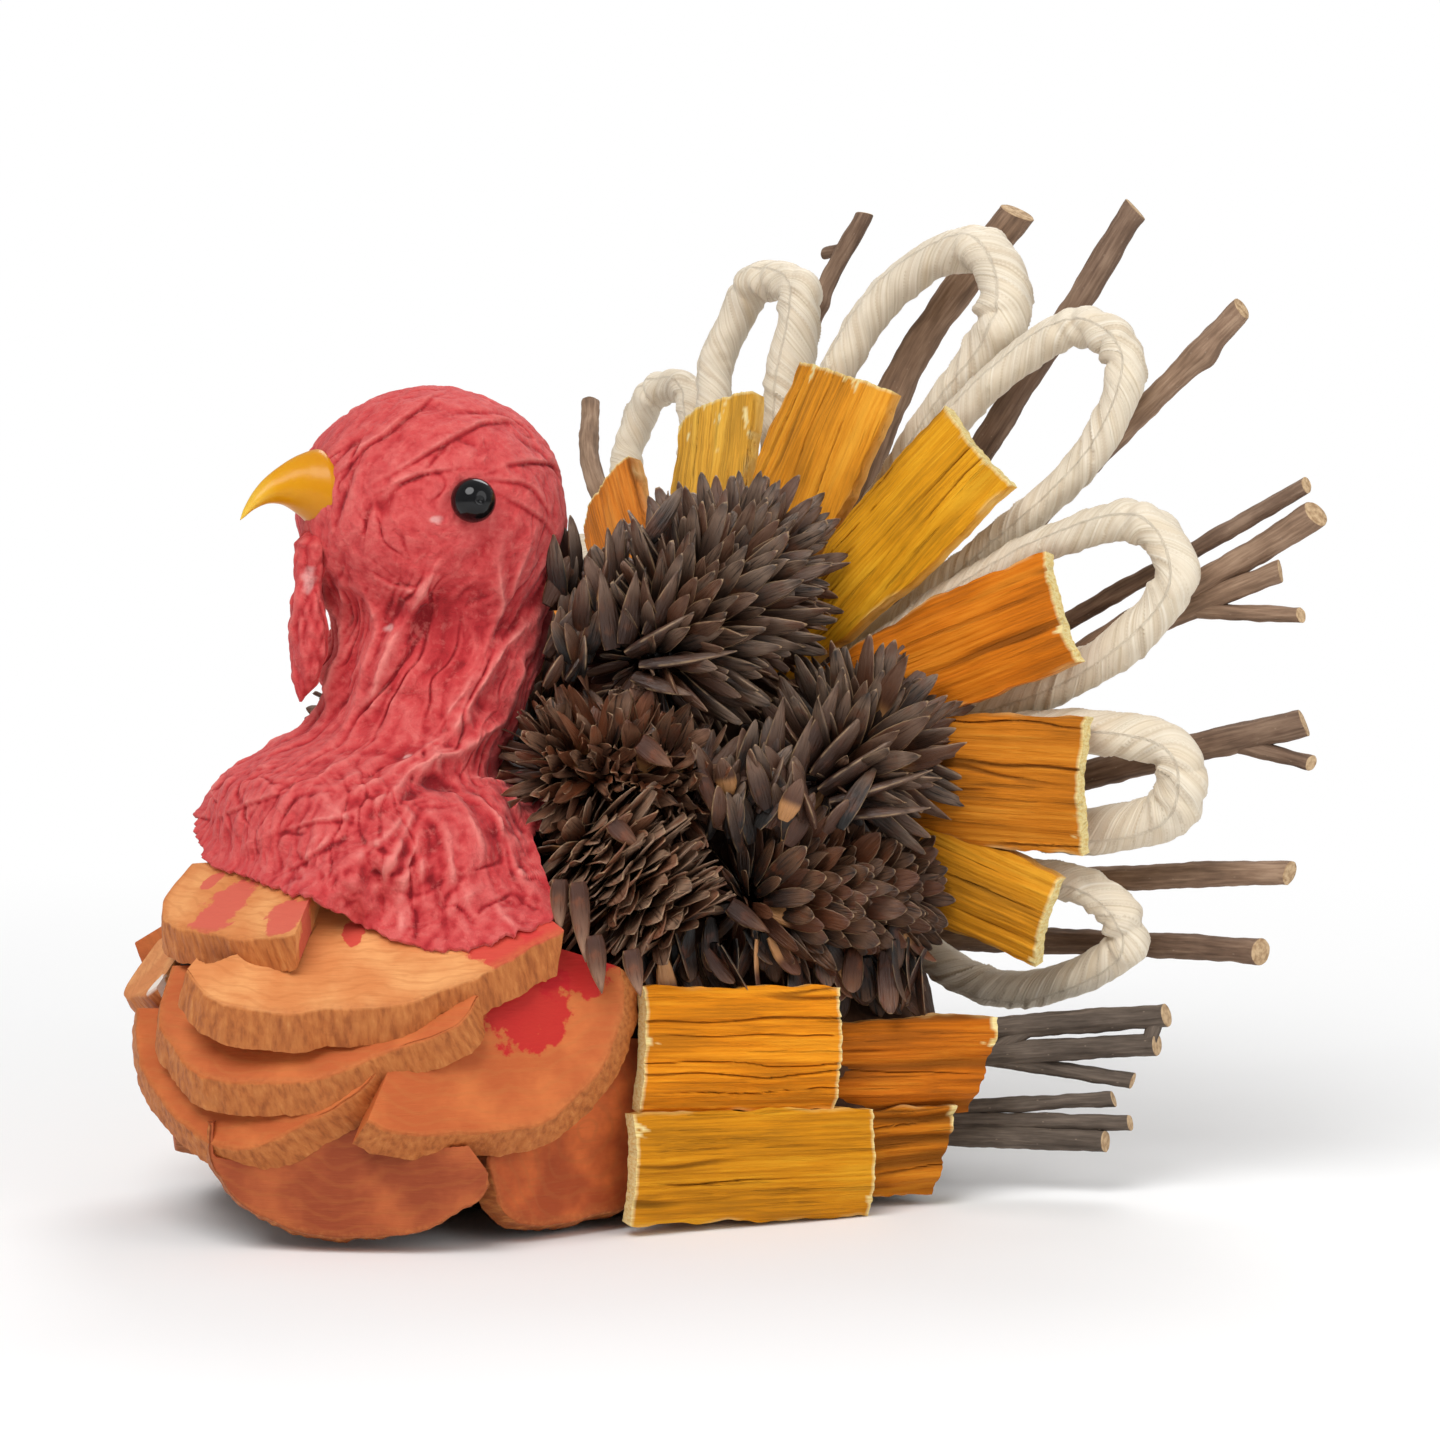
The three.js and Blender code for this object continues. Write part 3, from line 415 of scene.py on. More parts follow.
def beak_look():
    look = Look(
        "amber_beak", 0.34, Specular_IOR_Level=0.22, Coat_Weight=0.08, Coat_Roughness=0.2,
        Subsurface_Weight=0.1, Subsurface_Scale=0.003, Subsurface_Radius=(1.0, 0.55, 0.12),
    )
    # Paler towards the tip: painted light that shows through the thin, translucent tip.
    base = look.ramp(look.value("tip"), (0.0, (200, 134, 0)), (0.55, (208, 146, 4)), (1.0, (228, 190, 70)))
    base = look.blend(look.noise(look.place(), 260, 3), base, (204, 124, 10), 0.3)
    look.bump(look.noise(look.place(), 330, 2), 0.15)
    return look.colour(base)


def bead_look():
    return Look("black_bead", 0.1, Specular_IOR_Level=0.32).colour((10, 10, 12))


def slice_look(name, tone, rim, rings=(0.0, 30.0), ring_gap=2.2, stains=(), dye=(178, 30, 36)):
    look = Look("slice_" + name, 0.62, Specular_IOR_Level=0.22)
    light, dark = tone
    warp = look.times(look.texture("plane", (0.05, 0.05, 0.05), 3), 14.0)
    growth = look.plus(look.away("plane", (1, 1, 0), (*rings, 0)), warp)
    ring = look.math("SINE", look.times(growth, 6.283 / ring_gap))
    grain = look.texture("plane", (0.16, 1.6, 1.0), 4, 0.6)
    blotch = look.span(look.texture("plane", (0.07, 0.07, 0.1), 4, 0.55), 0.38, 0.66)
    face = look.blend(blotch, dark, light)
    face = look.blend(look.span(ring, 0.35, 1.0), face, rim, 0.26)
    face = look.blend(look.span(grain, 0.52, 0.74), face, rim, 0.42)
    for u, v, size, reach in stains:
        edge = look.times(look.texture("plane", (0.22, 0.22, 0.2), 4, 0.6), size * 1.3)
        wet = look.plus(look.away("plane", (1, 1 / reach, 0), (u, v / reach, 0)), edge)
        face = look.blend(look.span(wet, size * 1.46, size * 1.34), face, dye, 0.9)
    streak = look.texture("plane", (0.9, 0.9, 0.07), 3, 0.55)
    coarse = look.texture("plane", (0.3, 0.3, 0.1), 3)
    bark = look.ramp(
        streak, (0.28, (152, 84, 42)), (0.48, rim), (0.68, (198, 124, 66)), (0.85, (212, 146, 86)),
    )
    bark = look.blend(look.span(coarse, 0.5, 0.72), bark, (150, 82, 42), 0.22)
    barked = look.value("bark")
    look.bump(look.plus(look.times(grain, 0.4), look.times(streak, barked)), 0.35)
    return look.colour(look.blend(barked, face, bark))


def cone_look(name, deep, body, tip, warm):
    look = Look("cone_" + name, 0.44, Specular_IOR_Level=0.5)
    along = look.value("along")
    shade = look.value("shade")
    # The deep colour at the root of each scale is painted shade where the scales overlap; the dark streaks
    # below use the same colour as a real mark.
    base = look.ramp(along, (0.0, deep), (0.16, deep), (0.5, body), (0.84, tip), (1.0, body))
    streak = look.texture("grain", (2.4, 0.14, 1.0), 4, 0.6)
    patch = look.texture("grain", (0.3, 0.2, 1.0), 3, 0.6)
    base = look.blend(look.span(streak, 0.5, 0.72), base, deep)
    base = look.blend(look.span(patch, 0.5, 0.7), base, warm, 0.6)
    base = look.blend(look.span(shade, 0.5, 1.0), base, warm, 0.55)
    # Paler along the scale edges: partly the worn edges' own colour, partly painted highlight.
    edge = look.times(look.span(look.value("rim"), 0.45, 0.95), look.span(patch, 0.36, 0.6))
    base = look.blend(edge, base, (168, 138, 102), 0.75)
    root = look.times(look.span(shade, 0.955, 0.97), look.span(along, 0.5, 0.3))
    base = look.blend(root, base, (186, 132, 82))
    look.bump(streak, 0.5)
    return look.colour(base)


def bark_look(name, middle):
    look = Look("bark_" + name, 0.72, Specular_IOR_Level=0.18)
    middle = np.array(middle, float)
    crack = middle * 0.58
    fibre = look.texture("grain", (1.9, 0.05, 0.8), 5, 0.65)
    broad = look.texture("grain", (0.16, 0.025, 0.2), 3)
    share = look.plus(look.times(fibre, 0.45), look.times(broad, 0.55))
    base = look.ramp(share, (0.4, middle * 0.84), (0.5, middle), (0.6, middle * 1.04 + (4, 14, 16)))
    line = look.span(look.texture("grain", (0.75, 0.018, 0.3), 4, 0.6), 0.6, 0.68)
    base = look.blend(line, base, crack, 0.3)
    # Real cracks, and painted shade in the pleats' valleys, are darkened here.
    base = look.blend(look.value("crack"), base, crack, 0.75)
    torn = look.ramp(fibre, (0.35, (224, 186, 104)), (0.55, (240, 222, 160)))
    base = look.blend(look.value("pith"), base, torn)
    look.bump(look.plus(fibre, look.times(line, -0.6)), 0.45)
    return look.colour(base)


def husk_look():
    look = Look("corn_husk", 0.6, Specular_IOR_Level=0.35, Sheen_Weight=0.1)
    fibre = look.texture("grain", (1.6, 1.6, 0.035), 4, 0.6)
    broad = look.texture("grain", (0.16, 0.16, 0.05), 3)
    base = look.ramp(
        fibre,
        (0.3, (208, 191, 163)), (0.48, (225, 211, 188)), (0.62, (233, 221, 200)), (0.78, (242, 234, 220)),
    )
    base = look.blend(look.span(broad, 0.5, 0.75), base, (218, 196, 162), 0.4)
    # Painted shade under the overlapping edges of the husk.
    base = look.blend(look.value("lap"), base, (192, 166, 132), 0.4)
    look.bump(fibre, 0.35)
    return look.colour(base)


def stick_look(name, low, middle, high):
    look = Look("stick_" + name, 0.8, Specular_IOR_Level=0.25)
    fibre = look.texture("grain", (1.3, 1.3, 0.1), 5, 0.65)
    broad = look.texture("grain", (0.2, 0.2, 0.1), 3)
    share = look.plus(look.times(fibre, 0.6), look.times(broad, 0.4))
    base = look.ramp(share, (0.36, low), (0.5, middle), (0.64, high))
    dots = look.cells(look.vector("grain", (0.75, 0.75, 0.38)), 1.0)
    base = look.blend(look.span(dots, 0.12, 0.05), base, (166, 146, 126), 0.4)
    sawn = look.texture("grain", (0.9, 0.9, 0.4), 3)
    wood = look.ramp(sawn, (0.35, (160, 128, 94)), (0.6, (204, 174, 136)))
    base = look.blend(look.value("cut"), base, wood)
    look.bump(share, 0.3)
    return look.colour(base)


def foam_look():
    look = Look("painted_foam", 0.85, Specular_IOR_Level=0.2)
    beads = look.cells(look.place(), 330)
    base = look.ramp(look.noise(look.place(), 60, 4), (0.35, (58, 38, 26)), (0.65, (96, 66, 46)))
    base = look.blend(look.span(beads, 0.35, 0.6), base, (40, 26, 18), 0.3)
    look.bump(beads, 0.5)
    return look.colour(base)


# Paper head, neck and skirt

# Elevation of the skirt's torn edge round the chest's middle, by azimuth
SKIRT_EDGE = [
    (-180, 57), (-150, 46), (-125, 25), (-100, 21), (-80, 24), (-60, 41), (-37, 45), (-27, 42.6), (-4, 37.4),
    (11, 37), (35, 30.4), (43, 28.2), (49, 26.6), (58, 22.8), (67, 19.6), (76, 18.2), (83, 19), (89, 20.4),
    (95, 22.8), (99, 26.5), (100.5, 30.4), (103, 35.4), (109, 43), (125, 49), (150, 54), (180, 57),
]
HEAD_POLARS = (1, 14, 34, 56, 76, 96, 114)
NECK_SHARES = (0.42, 0.62, 0.82)
SKIRT_SHARES = (0, 0.28, 0.55, 0.8, 1)
WRAP_COLUMNS = 640
WRAP_ROWS_PER_STATION = 34


def neck_place(t):
    return mix(HEAD, NECK_FOOT, t) + np.array([0, NECK_BEND * math.sin(t * math.pi), 0])


def pressed(way):
    """How far out the skirt's edge lies, pressed on the upper slices or on the body beside them."""
    reach = np.full(len(way), CHEST_RADIUS + 1.0)
    for name, low, high in (("slice_collar_left", 0.55, 0.7), ("slice_collar_front", 0.76, 0.85)):
        plane = SLICES[name][0]
        lean = way @ heading(*plane[:2])
        reach = mix(reach, (CHEST_RADIUS + plane[2]) / np.maximum(lean, low), smooth(low, high, lean))
    return reach + 1.4


def wrap_stations(azimuth):
    """Smooth outline of the paper at each azimuth, from the crown down to the torn edge."""
    squash = np.array([1, 1, HEAD_HALF_HEIGHT / HEAD_RADIUS])
    rows = [HEAD + heading(azimuth, 90 - polar) * HEAD_RADIUS * squash for polar in HEAD_POLARS]
    rows += [neck_place(t) + heading(azimuth) * NECK_RADIUS for t in NECK_SHARES]
    lift = SKIRT_LIFT + 1.2 * np.cos(np.radians(azimuth + 40))
    skirt = CHEST_RADIUS + SKIRT_LIFT
    collar = math.degrees(math.asin((NECK_FOOT[2] - CHEST[2]) / skirt))
    around = rolled(50, np.radians(azimuth), 0 * azimuth)
    edge = np.interp(azimuth, *zip(*SKIRT_EDGE))
    edge = edge + fields(noise, around, (1.1, 7, 5), (0.9, 2.4, 6), (0.6, 1.1, 7))
    for t in SKIRT_SHARES:
        way = heading(azimuth, mix(collar, edge, t))
        reach = mix(CHEST_RADIUS + lift, pressed(way), smooth(0.25, 1.0, np.full(len(azimuth), t)))
        rows.append(CHEST + way * reach[:, None])
    return np.array(rows)


def through_rows(rows, per_station):
    """Rows of points refined along a smooth line through each column."""
    padded = np.concatenate([2 * rows[:1] - rows[1:2], rows, 2 * rows[-1:] - rows[-2:-1]])
    fine = []
    station = []
    for i in range(len(rows) - 1):
        a, b, c, d = padded[i:i + 4]
        for t in np.arange(per_station) / per_station:
            fine.append(0.5 * (
                2 * b + (c - a) * t + (2 * a - 5 * b + 4 * c - d) * t ** 2 + (3 * b - a - 3 * c + d) * t ** 3
            ))
            station.append(i + t)
    fine.append(rows[-1])
    station.append(len(rows) - 1)
    return np.array(fine), np.array(station)


def soften(field, reach):
    """Mean of a field over a square of the given half width; columns go round."""
    total = np.zeros_like(field)
    padded = np.pad(field, ((reach, reach), (0, 0)), mode="edge")
    for k in range(2 * reach + 1):
        total += padded[k:k + len(field)]
    field = total / (2 * reach + 1)
    total = sum(np.roll(field, k, axis=1) for k in range(-reach, reach + 1))
    return total / (2 * reach + 1)


FOLD_STEPS = 20
TUCK_ROWS = 16
# Folds drawn in the paper: a line of (azimuth, height) places, its rise and its half width
PAPER_RIDGES = [
    ([(86, 127), (84, 122), (85, 112), (76, 103), (70, 96), (65, 90)], 1.9, 1.9),
    ([(102, 126), (95, 120), (91, 114)], 1.0, 1.6),
    ([(57, 121), (40, 114), (29, 107), (24, 94)], 2.0, 2.0),
    ([(14, 117), (19, 111), (16, 104), (12, 92)], 1.6, 1.7),
    ([(5, 120), (-8, 112), (-8, 101), (-14, 92)], 1.4, 1.7),
    ([(132, 116), (96, 108), (83, 102), (74, 91), (65, 83)], 1.7, 1.9),
    ([(120, 108), (106, 101), (102, 92), (77, 86), (71, 82)], 1.6, 1.8),
    ([(83, 94), (67, 88), (58, 83), (41, 79)], 1.4, 1.5),
    ([(96, 89), (71, 84), (58, 80), (45, 77)], 1.4, 1.4),
    ([(69, 80), (57, 74), (46, 69)], 1.0, 1.2),
    ([(70, 79), (59, 72), (54, 62)], 1.1, 1.0),
    ([(73, 79), (63, 70), (61, 58)], 1.0, 1.1),
    ([(76, 80), (67, 70), (70, 56)], 1.1, 1.2),
    ([(80, 81), (75, 71), (77, 56)], 1.0, 1.4),
    ([(85, 81), (84, 74), (86, 58)], 1.1, 1.2),
    ([(91, 81), (95, 75), (96, 62)], 1.1, 1.2),
    ([(100, 83), (113, 80), (109, 75)], 1.1, 1.1),
    ([(40, 92), (33, 84), (20, 77)], 0.9, 1.6),
    ([(52, 90), (44, 83), (30, 77)], 0.9, 1.5),
]
# Edges where one layer of paper laps over another: line and rise
PAPER_LAPS = [
    ([(8, 138), (25, 144), (44, 150), (65, 153)], 0.9),
    ([(35, 138), (58, 143), (81, 147), (111, 148)], 0.8),
    ([(37, 136), (48, 138), (64, 139)], 0.6),
    ([(83, 139), (113, 141), (140, 139)], 0.8),
    ([(80, 137), (98, 136), (115, 130)], 0.7),
    ([(85, 134), (101, 131), (125, 126)], 0.6),
    ([(52, 120), (44, 118), (35, 118), (24, 120)], 0.5),
    ([(22, 74), (36, 76), (48, 76)], 0.7),
    ([(-8, 76), (7, 79), (22, 81)], 0.6),
    ([(26, 67), (35, 70), (45, 74)], 0.6),
]
# Hollows: place, depth and half width; each is sunk in and darkened with painted shade
PAPER_HOLLOWS = [
    ((68, 112), 1.2, 7.0), ((36, 112), 1.4, 4.0), ((48, 112), 1.0, 5.5), ((55, 104), 1.3, 4.5),
    ((83, 82), 1.8, 2.4),
]
# Glue that soaked in: place and radius
GLUE_SPOTS = [((55, 130), 1.3), ((27, 110), 1.5), ((62, 87), 1.1)]


def stroke(flat, outward, line, reach):
    """The points near a drawn line, their gap to it and side of it, and a share that fades at its ends."""
    low, high = line.min(0) - reach, line.max(0) + reach
    near = np.nonzero(((flat > low) & (flat < high)).all(1))[0]
    spot = flat[near]
    best = np.full(len(near), 1e9)
    side = np.zeros(len(near))
    place = np.zeros(len(near))
    for i, (a, b) in enumerate(zip(line, line[1:])):
        size = np.linalg.norm(b - a)
        ahead = (b - a) / size
        held = np.clip((spot - a) @ ahead, 0, size)
        away = spot - (a + held[:, None] * ahead)
        gap = np.linalg.norm(away, axis=1)
        nearer = gap < best
        best = np.where(nearer, gap, best)
        side = np.where(nearer, (np.cross(ahead, away) * outward[near]).sum(1), side)
        place = np.where(nearer, (i + held / size) / (len(line) - 1), place)
    return near, best, side, np.sqrt(np.clip(np.sin(math.pi * np.clip(place, 0.02, 0.98)), 0, 1))


def drawn_folds(smooth_rows, bent, outward):
    """Height of the folds, laps and hollows that are drawn in the paper, on both sides of the head."""
    height = np.zeros(len(bent))
    sunk = np.zeros(len(bent))

    def on_paper(places, mirrored):
        spots = []
        for az, z in places:
            az = 2 * HEAD_TURN - az if mirrored else az
            column = int(round((az + 180) / 360 * WRAP_COLUMNS)) % WRAP_COLUMNS
            line = smooth_rows[::-1, column]
            spots.append([np.interp(z, line[:, 2], line[:, k]) for k in range(3)])
        return np.array(spots)

    for mirrored in (False, True):
        for places, rise, width in PAPER_RIDGES:
            line, _ = line_through(on_paper(places, mirrored), FOLD_STEPS)
            near, gap, _, share = stroke(bent, outward, line, width * 3)
            height[near] += 1.25 * rise * share * np.exp(-(gap / width / 0.8) ** 1.2)
        for places, rise in PAPER_LAPS:
            line, _ = line_through(on_paper(places, mirrored), FOLD_STEPS)
            near, gap, side, share = stroke(bent, outward, line, 10)
            side = -side if mirrored else side
            lapped = smooth(-0.35, 0.35, side) * np.exp(-np.maximum(side, 0) / 5) * np.exp(-(gap / 7) ** 2)
            groove = -0.25 * np.exp(-((side + 0.3) / 0.5) ** 2) * (gap < 3)
            height[near] += rise * share * (lapped + groove)
        for place, depth, width in PAPER_HOLLOWS:
            gap = np.linalg.norm(bent - on_paper([place], mirrored)[0], axis=1)
            sunk += depth * np.exp(-(gap / width) ** 2)
    return height, sunk, on_paper


def paper_relief(flat, bent, az, st):
    """Height of the wrinkles that the head, the neck and the skirt each have of their own."""
    on_skirt = smooth(9.0, 10.6, st)
    on_neck = smooth(5.0, 7.0, st) * (1 - on_skirt)
    on_head = 1 - smooth(5.0, 7.0, st)
    patchy = smooth(-0.25, 0.35, noise(flat, 16, 91))
    sparse = smooth(-0.1, 0.4, noise(flat, 12, 92))
    height = 0.12 * layers(flat, 1.9, 3, 41)

    # Head: wrinkles run round the axis through the eyes, over the crown and down the back
    axis = heading(HEAD_TURN + 90)
    rel = bent - HEAD
    across = (rel @ axis)[:, None] * axis
    curl = across + (rel - across) * 0.3
    at = np.nonzero(on_head > 0)[0]
    lie, near = curl[at], bent[at]
    head = 0.4 * noise(lie, 9, 11) + 0.75 * patchy[at] * crinkle(lie, 8, 12)
    head += 0.35 * sparse[at] * crinkle(lie, 4, 13)
    head += fields(crumple, lie, (0.55, 8, 4, 14), (0.26, 4, 4, 15)) + 0.2 * crumple(near, 6, 4, 16)
    height[at] += on_head[at] * head

    # Neck: folds slant forwards on their way down
    turn = np.arctan2(bent[:, 0], -(bent[:, 1] + 30)) - np.radians(1.6 * (bent[:, 2] - 100))
    drape = rolled(20, turn, bent[:, 2] * 0.24)
    at = np.nonzero(on_neck > 0)[0]
    lie, near = drape[at], bent[at]
    neck = fields(crumple, lie, (1.3, 11, 4, 21), (0.7, 5.5, 4, 23)) + 0.4 * crumple(near, 7, 4, 24)
    neck += 0.7 * patchy[at] * crinkle(lie, 6, 22) + 0.25 * crumple(lie, 2.6, 4, 25) - 0.2
    height[at] += on_neck[at] * neck

    # Skirt: pressed flat in front, with pleats that spread from the collar on the sides
    turn = np.arctan2(bent[:, 0], -(bent[:, 1] - CHEST[1]))
    fan = rolled(46, turn, bent[:, 2] * 0.3)
    full = 0.5 + 0.5 * np.exp(-((az - 70) / 35) ** 2) + 0.5 * np.exp(-((az + 90) / 45) ** 2)
    at = np.nonzero(on_skirt > 0)[0]
    lie, near = fan[at], bent[at]
    pleats = fields(crumple, lie, (0.65, 13, 3, 31), (0.2, 6, 3, 35)) + 0.35 * crinkle(lie, 7, 32)
    skirt = full[at] * pleats + 0.5 * sparse[at] * crinkle(near, 8, 33)
    skirt += fields(crumple, near, (0.6, 12, 5, 36), (0.32, 6, 4, 37), (0.2, 3, 4, 38))
    height[at] += on_skirt[at] * skirt * (1 - 0.4 * smooth(12.6, 14, st[at]))
    return height


def build_paper(look):
    azimuth = np.linspace(-180, 180, WRAP_COLUMNS, endpoint=False)
    smooth_rows, station = through_rows(wrap_stations(azimuth), WRAP_ROWS_PER_STATION)
    rows = len(station)
    down = np.gradient(smooth_rows, axis=0)
    round_ = (np.roll(smooth_rows, -1, axis=1) - np.roll(smooth_rows, 1, axis=1)) / 2
    outward = unit(np.cross(down, round_))
    flat = smooth_rows.reshape(-1, 3)
    az = np.tile(azimuth, rows)
    st = np.repeat(station, WRAP_COLUMNS)
    bent = flat + 2.4 * np.stack([layers(flat, 11, 2, 80 + k) for k in range(3)], 1)
    drawn, sunk, on_paper = drawn_folds(smooth_rows, flat + (bent - flat) * 0.35, outward.reshape(-1, 3))
    height = paper_relief(flat, bent, az, st) + drawn - sunk
    height = np.where(height < 0, -1.5 * np.tanh(-height / 1.5), height)
    grid = height.reshape(rows, WRAP_COLUMNS)
    # Painted shade and highlight: fold is the height against its local mean, so the colour darkens in creases
    # and lightens on ridges.
    broad = grid - soften(grid, 14)
    fine = grid - soften(grid, 3)
    fold = 0.59 + 0.46 * np.where(broad > 0, 0.55 * broad, broad) + 1.5 * np.where(fine > 0, 0.5 * fine, fine)
    # Painted shade: the hollows are darkened as well as sunk in.
    fold = fold - 0.16 * sunk.reshape(grid.shape)
    points = smooth_rows + outward * grid[:, :, None]

    # The torn edge is turned in and runs back up inside
    tuck = points[-1] - outward[-1] * 0.9
    back = points[-TUCK_ROWS] - outward[-TUCK_ROWS] * 1.8
    points = np.concatenate([points, tuck[None], back[None]])
    # The turned edge gets a light fold value and the inside a dark one: painted highlight and painted shade.
    fold = np.clip(np.concatenate([fold, fold[-1:] * 0 + 0.9, fold[-1:] * 0 + 0.2]), 0, 1).ravel()
    every = points.reshape(-1, 3)
    spots = np.zeros(len(every))
    ragged = 1.1 * noise(every, 1.5, 95)
    for place, size in GLUE_SPOTS:
        gap = np.linalg.norm((every - on_paper([place], False)[0]) * (1, 1, 1.8), axis=1)
        spots = np.maximum(spots, 1 - smooth(size * 0.3, size * 1.2, gap + ragged))
    shape = Shape()
    shape.add(every, grid_faces(rows + 2, WRAP_COLUMNS)[:, ::-1], fold=fold, glue=spots)
    first = -len(every)
    crown = [[first + i, 0, first + (i + 1) % WRAP_COLUMNS] for i in range(WRAP_COLUMNS)]
    shape.add([points[0].mean(0)], crown, fold=0.5, glue=0.0)
    shape.piece("paper_wrap", look, "head_wrap")


# Snood, beak and eyes

# Drop, reach ahead of the face, half width and half depth
SNOOD = np.array([
    (0, -3.5, 3.0, 2.2), (4, -0.8, 4.2, 2.8), (8, 0, 3.4, 2.4), (11.5, 0.2, 2.6, 2.0), (15, 0.2, 4.2, 2.8),
    (20, 0, 5.2, 3.2), (24.5, 0.1, 4.8, 3.0), (28.5, 0.6, 3.2, 2.2), (31.5, 1.3, 1.4, 1.1),
    (33.2, 1.7, 0.25, 0.25),
])
SNOOD_ROWS = 130
SNOOD_SIDES = 72
# Reach ahead of the face, middle height above the head's own, half height and half width
BEAK = np.array([
    (-5.0, 3.8, 6.4, 7.0), (-3.2, 3.8, 6.8, 7.6), (-2.6, 3.8, 7.3, 7.9), (-1.6, 3.9, 7.2, 7.7),
    (1.2, 4.7, 5.7, 5.4), (4.5, 5.0, 3.9, 3.6), (8.0, 4.1, 2.6, 2.4), (11.0, 2.0, 1.5, 1.5),
    (12.6, 0.2, 0.8, 0.8), (13.4, -1.0, 0.15, 0.15),
])
BEAK_ROWS = 90
BEAK_SIDES = 56
EYE_ROWS = 40
EYE_SIDES = 64


def build_snood(look):
    ahead = heading(HEAD_TURN)
    across = heading(HEAD_TURN + 90)
    drop = np.linspace(0, SNOOD[-1, 0], SNOOD_ROWS)
    reach, wide, deep = (np.interp(drop, SNOOD[:, 0], SNOOD[:, k]) for k in (1, 2, 3))
    turn = circle(SNOOD_SIDES)[:, None]
    centre = HEAD + ahead * (HEAD_RADIUS + reach)[:, None]
    centre[:, 2] = HEAD[2] - BEAK_HEIGHT * 0.45 + 4.5 - drop
    out = across * np.cos(turn) * wide[:, None, None] + ahead * np.sin(turn) * deep[:, None, None]
    points = centre[:, None] + out
    squeezed = points.reshape(-1, 3) * (1, 1, 0.35)
    rise = 0.9 * billow(squeezed, 3.0, 51) + 0.4 * billow(squeezed, 1.5, 52) - 0.35
    grid = rise.reshape(points.shape[:2])
    size = np.minimum(wide / 2.5, 1)[:, None, None]
    points = points + unit(out + 1e-9) * grid[:, :, None] * size
    # Painted shade and highlight: darker in the crinkles' hollows, lighter on their crests.
    fold = np.clip(0.5 + 0.8 * (grid - soften(grid, 4)), 0, 1).ravel()
    blob = points[40, 5]
    every = points.reshape(-1, 3)
    away = np.linalg.norm((every - blob) * (1, 1, 0.6), axis=1) + 0.7 * noise(every, 1.4, 53)
    faces = grid_faces(SNOOD_ROWS, SNOOD_SIDES)
    shape = Shape()
    shape.add(points, faces, fold=fold, glue=1 - smooth(0.7, 1.8, away))
    shape.piece("paper_snood", look, "snood")


def build_beak(look):
    ahead = heading(HEAD_TURN)
    across = heading(HEAD_TURN + 90)
    fine, _ = line_through(BEAK[:, :3] * (1, 1, 2), BEAK_ROWS)
    reach, rise, tall = fine[:, 0], fine[:, 1], fine[:, 2] / 2
    wide = np.interp(reach, BEAK[:, 0], BEAK[:, 3])
    turn = circle(BEAK_SIDES)
    keel = 1 + 0.10 * np.clip(np.sin(turn), 0, 1) ** 6
    under = np.where(np.sin(turn) < 0, 0.9, 1.0)
    centre = HEAD + ahead * (HEAD_RADIUS + reach)[:, None]
    centre[:, 2] += rise
    points = centre[:, None] + across * (np.cos(turn) * wide[:, None])[..., None]
    points[..., 2] += np.sin(turn) * tall[:, None] * keel * under
    wobble = 0.16 * noise(points, 4.0, 61).reshape(BEAK_ROWS, BEAK_SIDES, 1)
    points = points + unit(points - points.mean(1, keepdims=True) + 1e-9) * wobble
    tip = np.repeat(np.clip(reach / 13, 0, 1), BEAK_SIDES)
    shape = Shape()
    shape.add(points, grid_faces(BEAK_ROWS, BEAK_SIDES)[:, ::-1], tip=tip)
    shape.piece("glossy_beak", look, "beak")


def build_eye(look, name, azimuth):
    out = heading(azimuth)
    centre = HEAD + out * (HEAD_RADIUS + EYE_RADIUS * 0.2) + np.array([0, 0, EYE_RISE])
    polar = np.radians(np.linspace(2, 178, EYE_ROWS))[:, None, None]
    turn = circle(EYE_SIDES)[:, None]
    ring = heading(azimuth + 90) * np.cos(turn) + np.array([0, 0, 1.0]) * np.sin(turn)
    hole = 0.5 * np.exp(-(polar / 0.12) ** 2)
    radius = EYE_RADIUS + 0.12 - hole
    points = centre + out * (np.cos(polar) * radius) + ring * (np.sin(polar) * radius)
    front = list(range(EYE_SIDES))[::-1]
    back = list(range(EYE_SIDES, 2 * EYE_SIDES))
    shape = Shape()
    shape.add(points, grid_faces(EYE_ROWS, EYE_SIDES))
    shape.add(points[[0, -1]], [front, back])
    shape.piece("bead_" + name, look, name)


# Wood slices of the breast

# Light and dark parts of a face, and bark
SLICE_PALE = ((226, 160, 100), (208, 130, 74))
SLICE_ORANGE = ((204, 112, 58), (182, 90, 44))
SLICE_RUST = ((184, 96, 53), (146, 67, 37))
RIM_TAN = (184, 108, 55)
RIM_BROWN = (168, 94, 48)

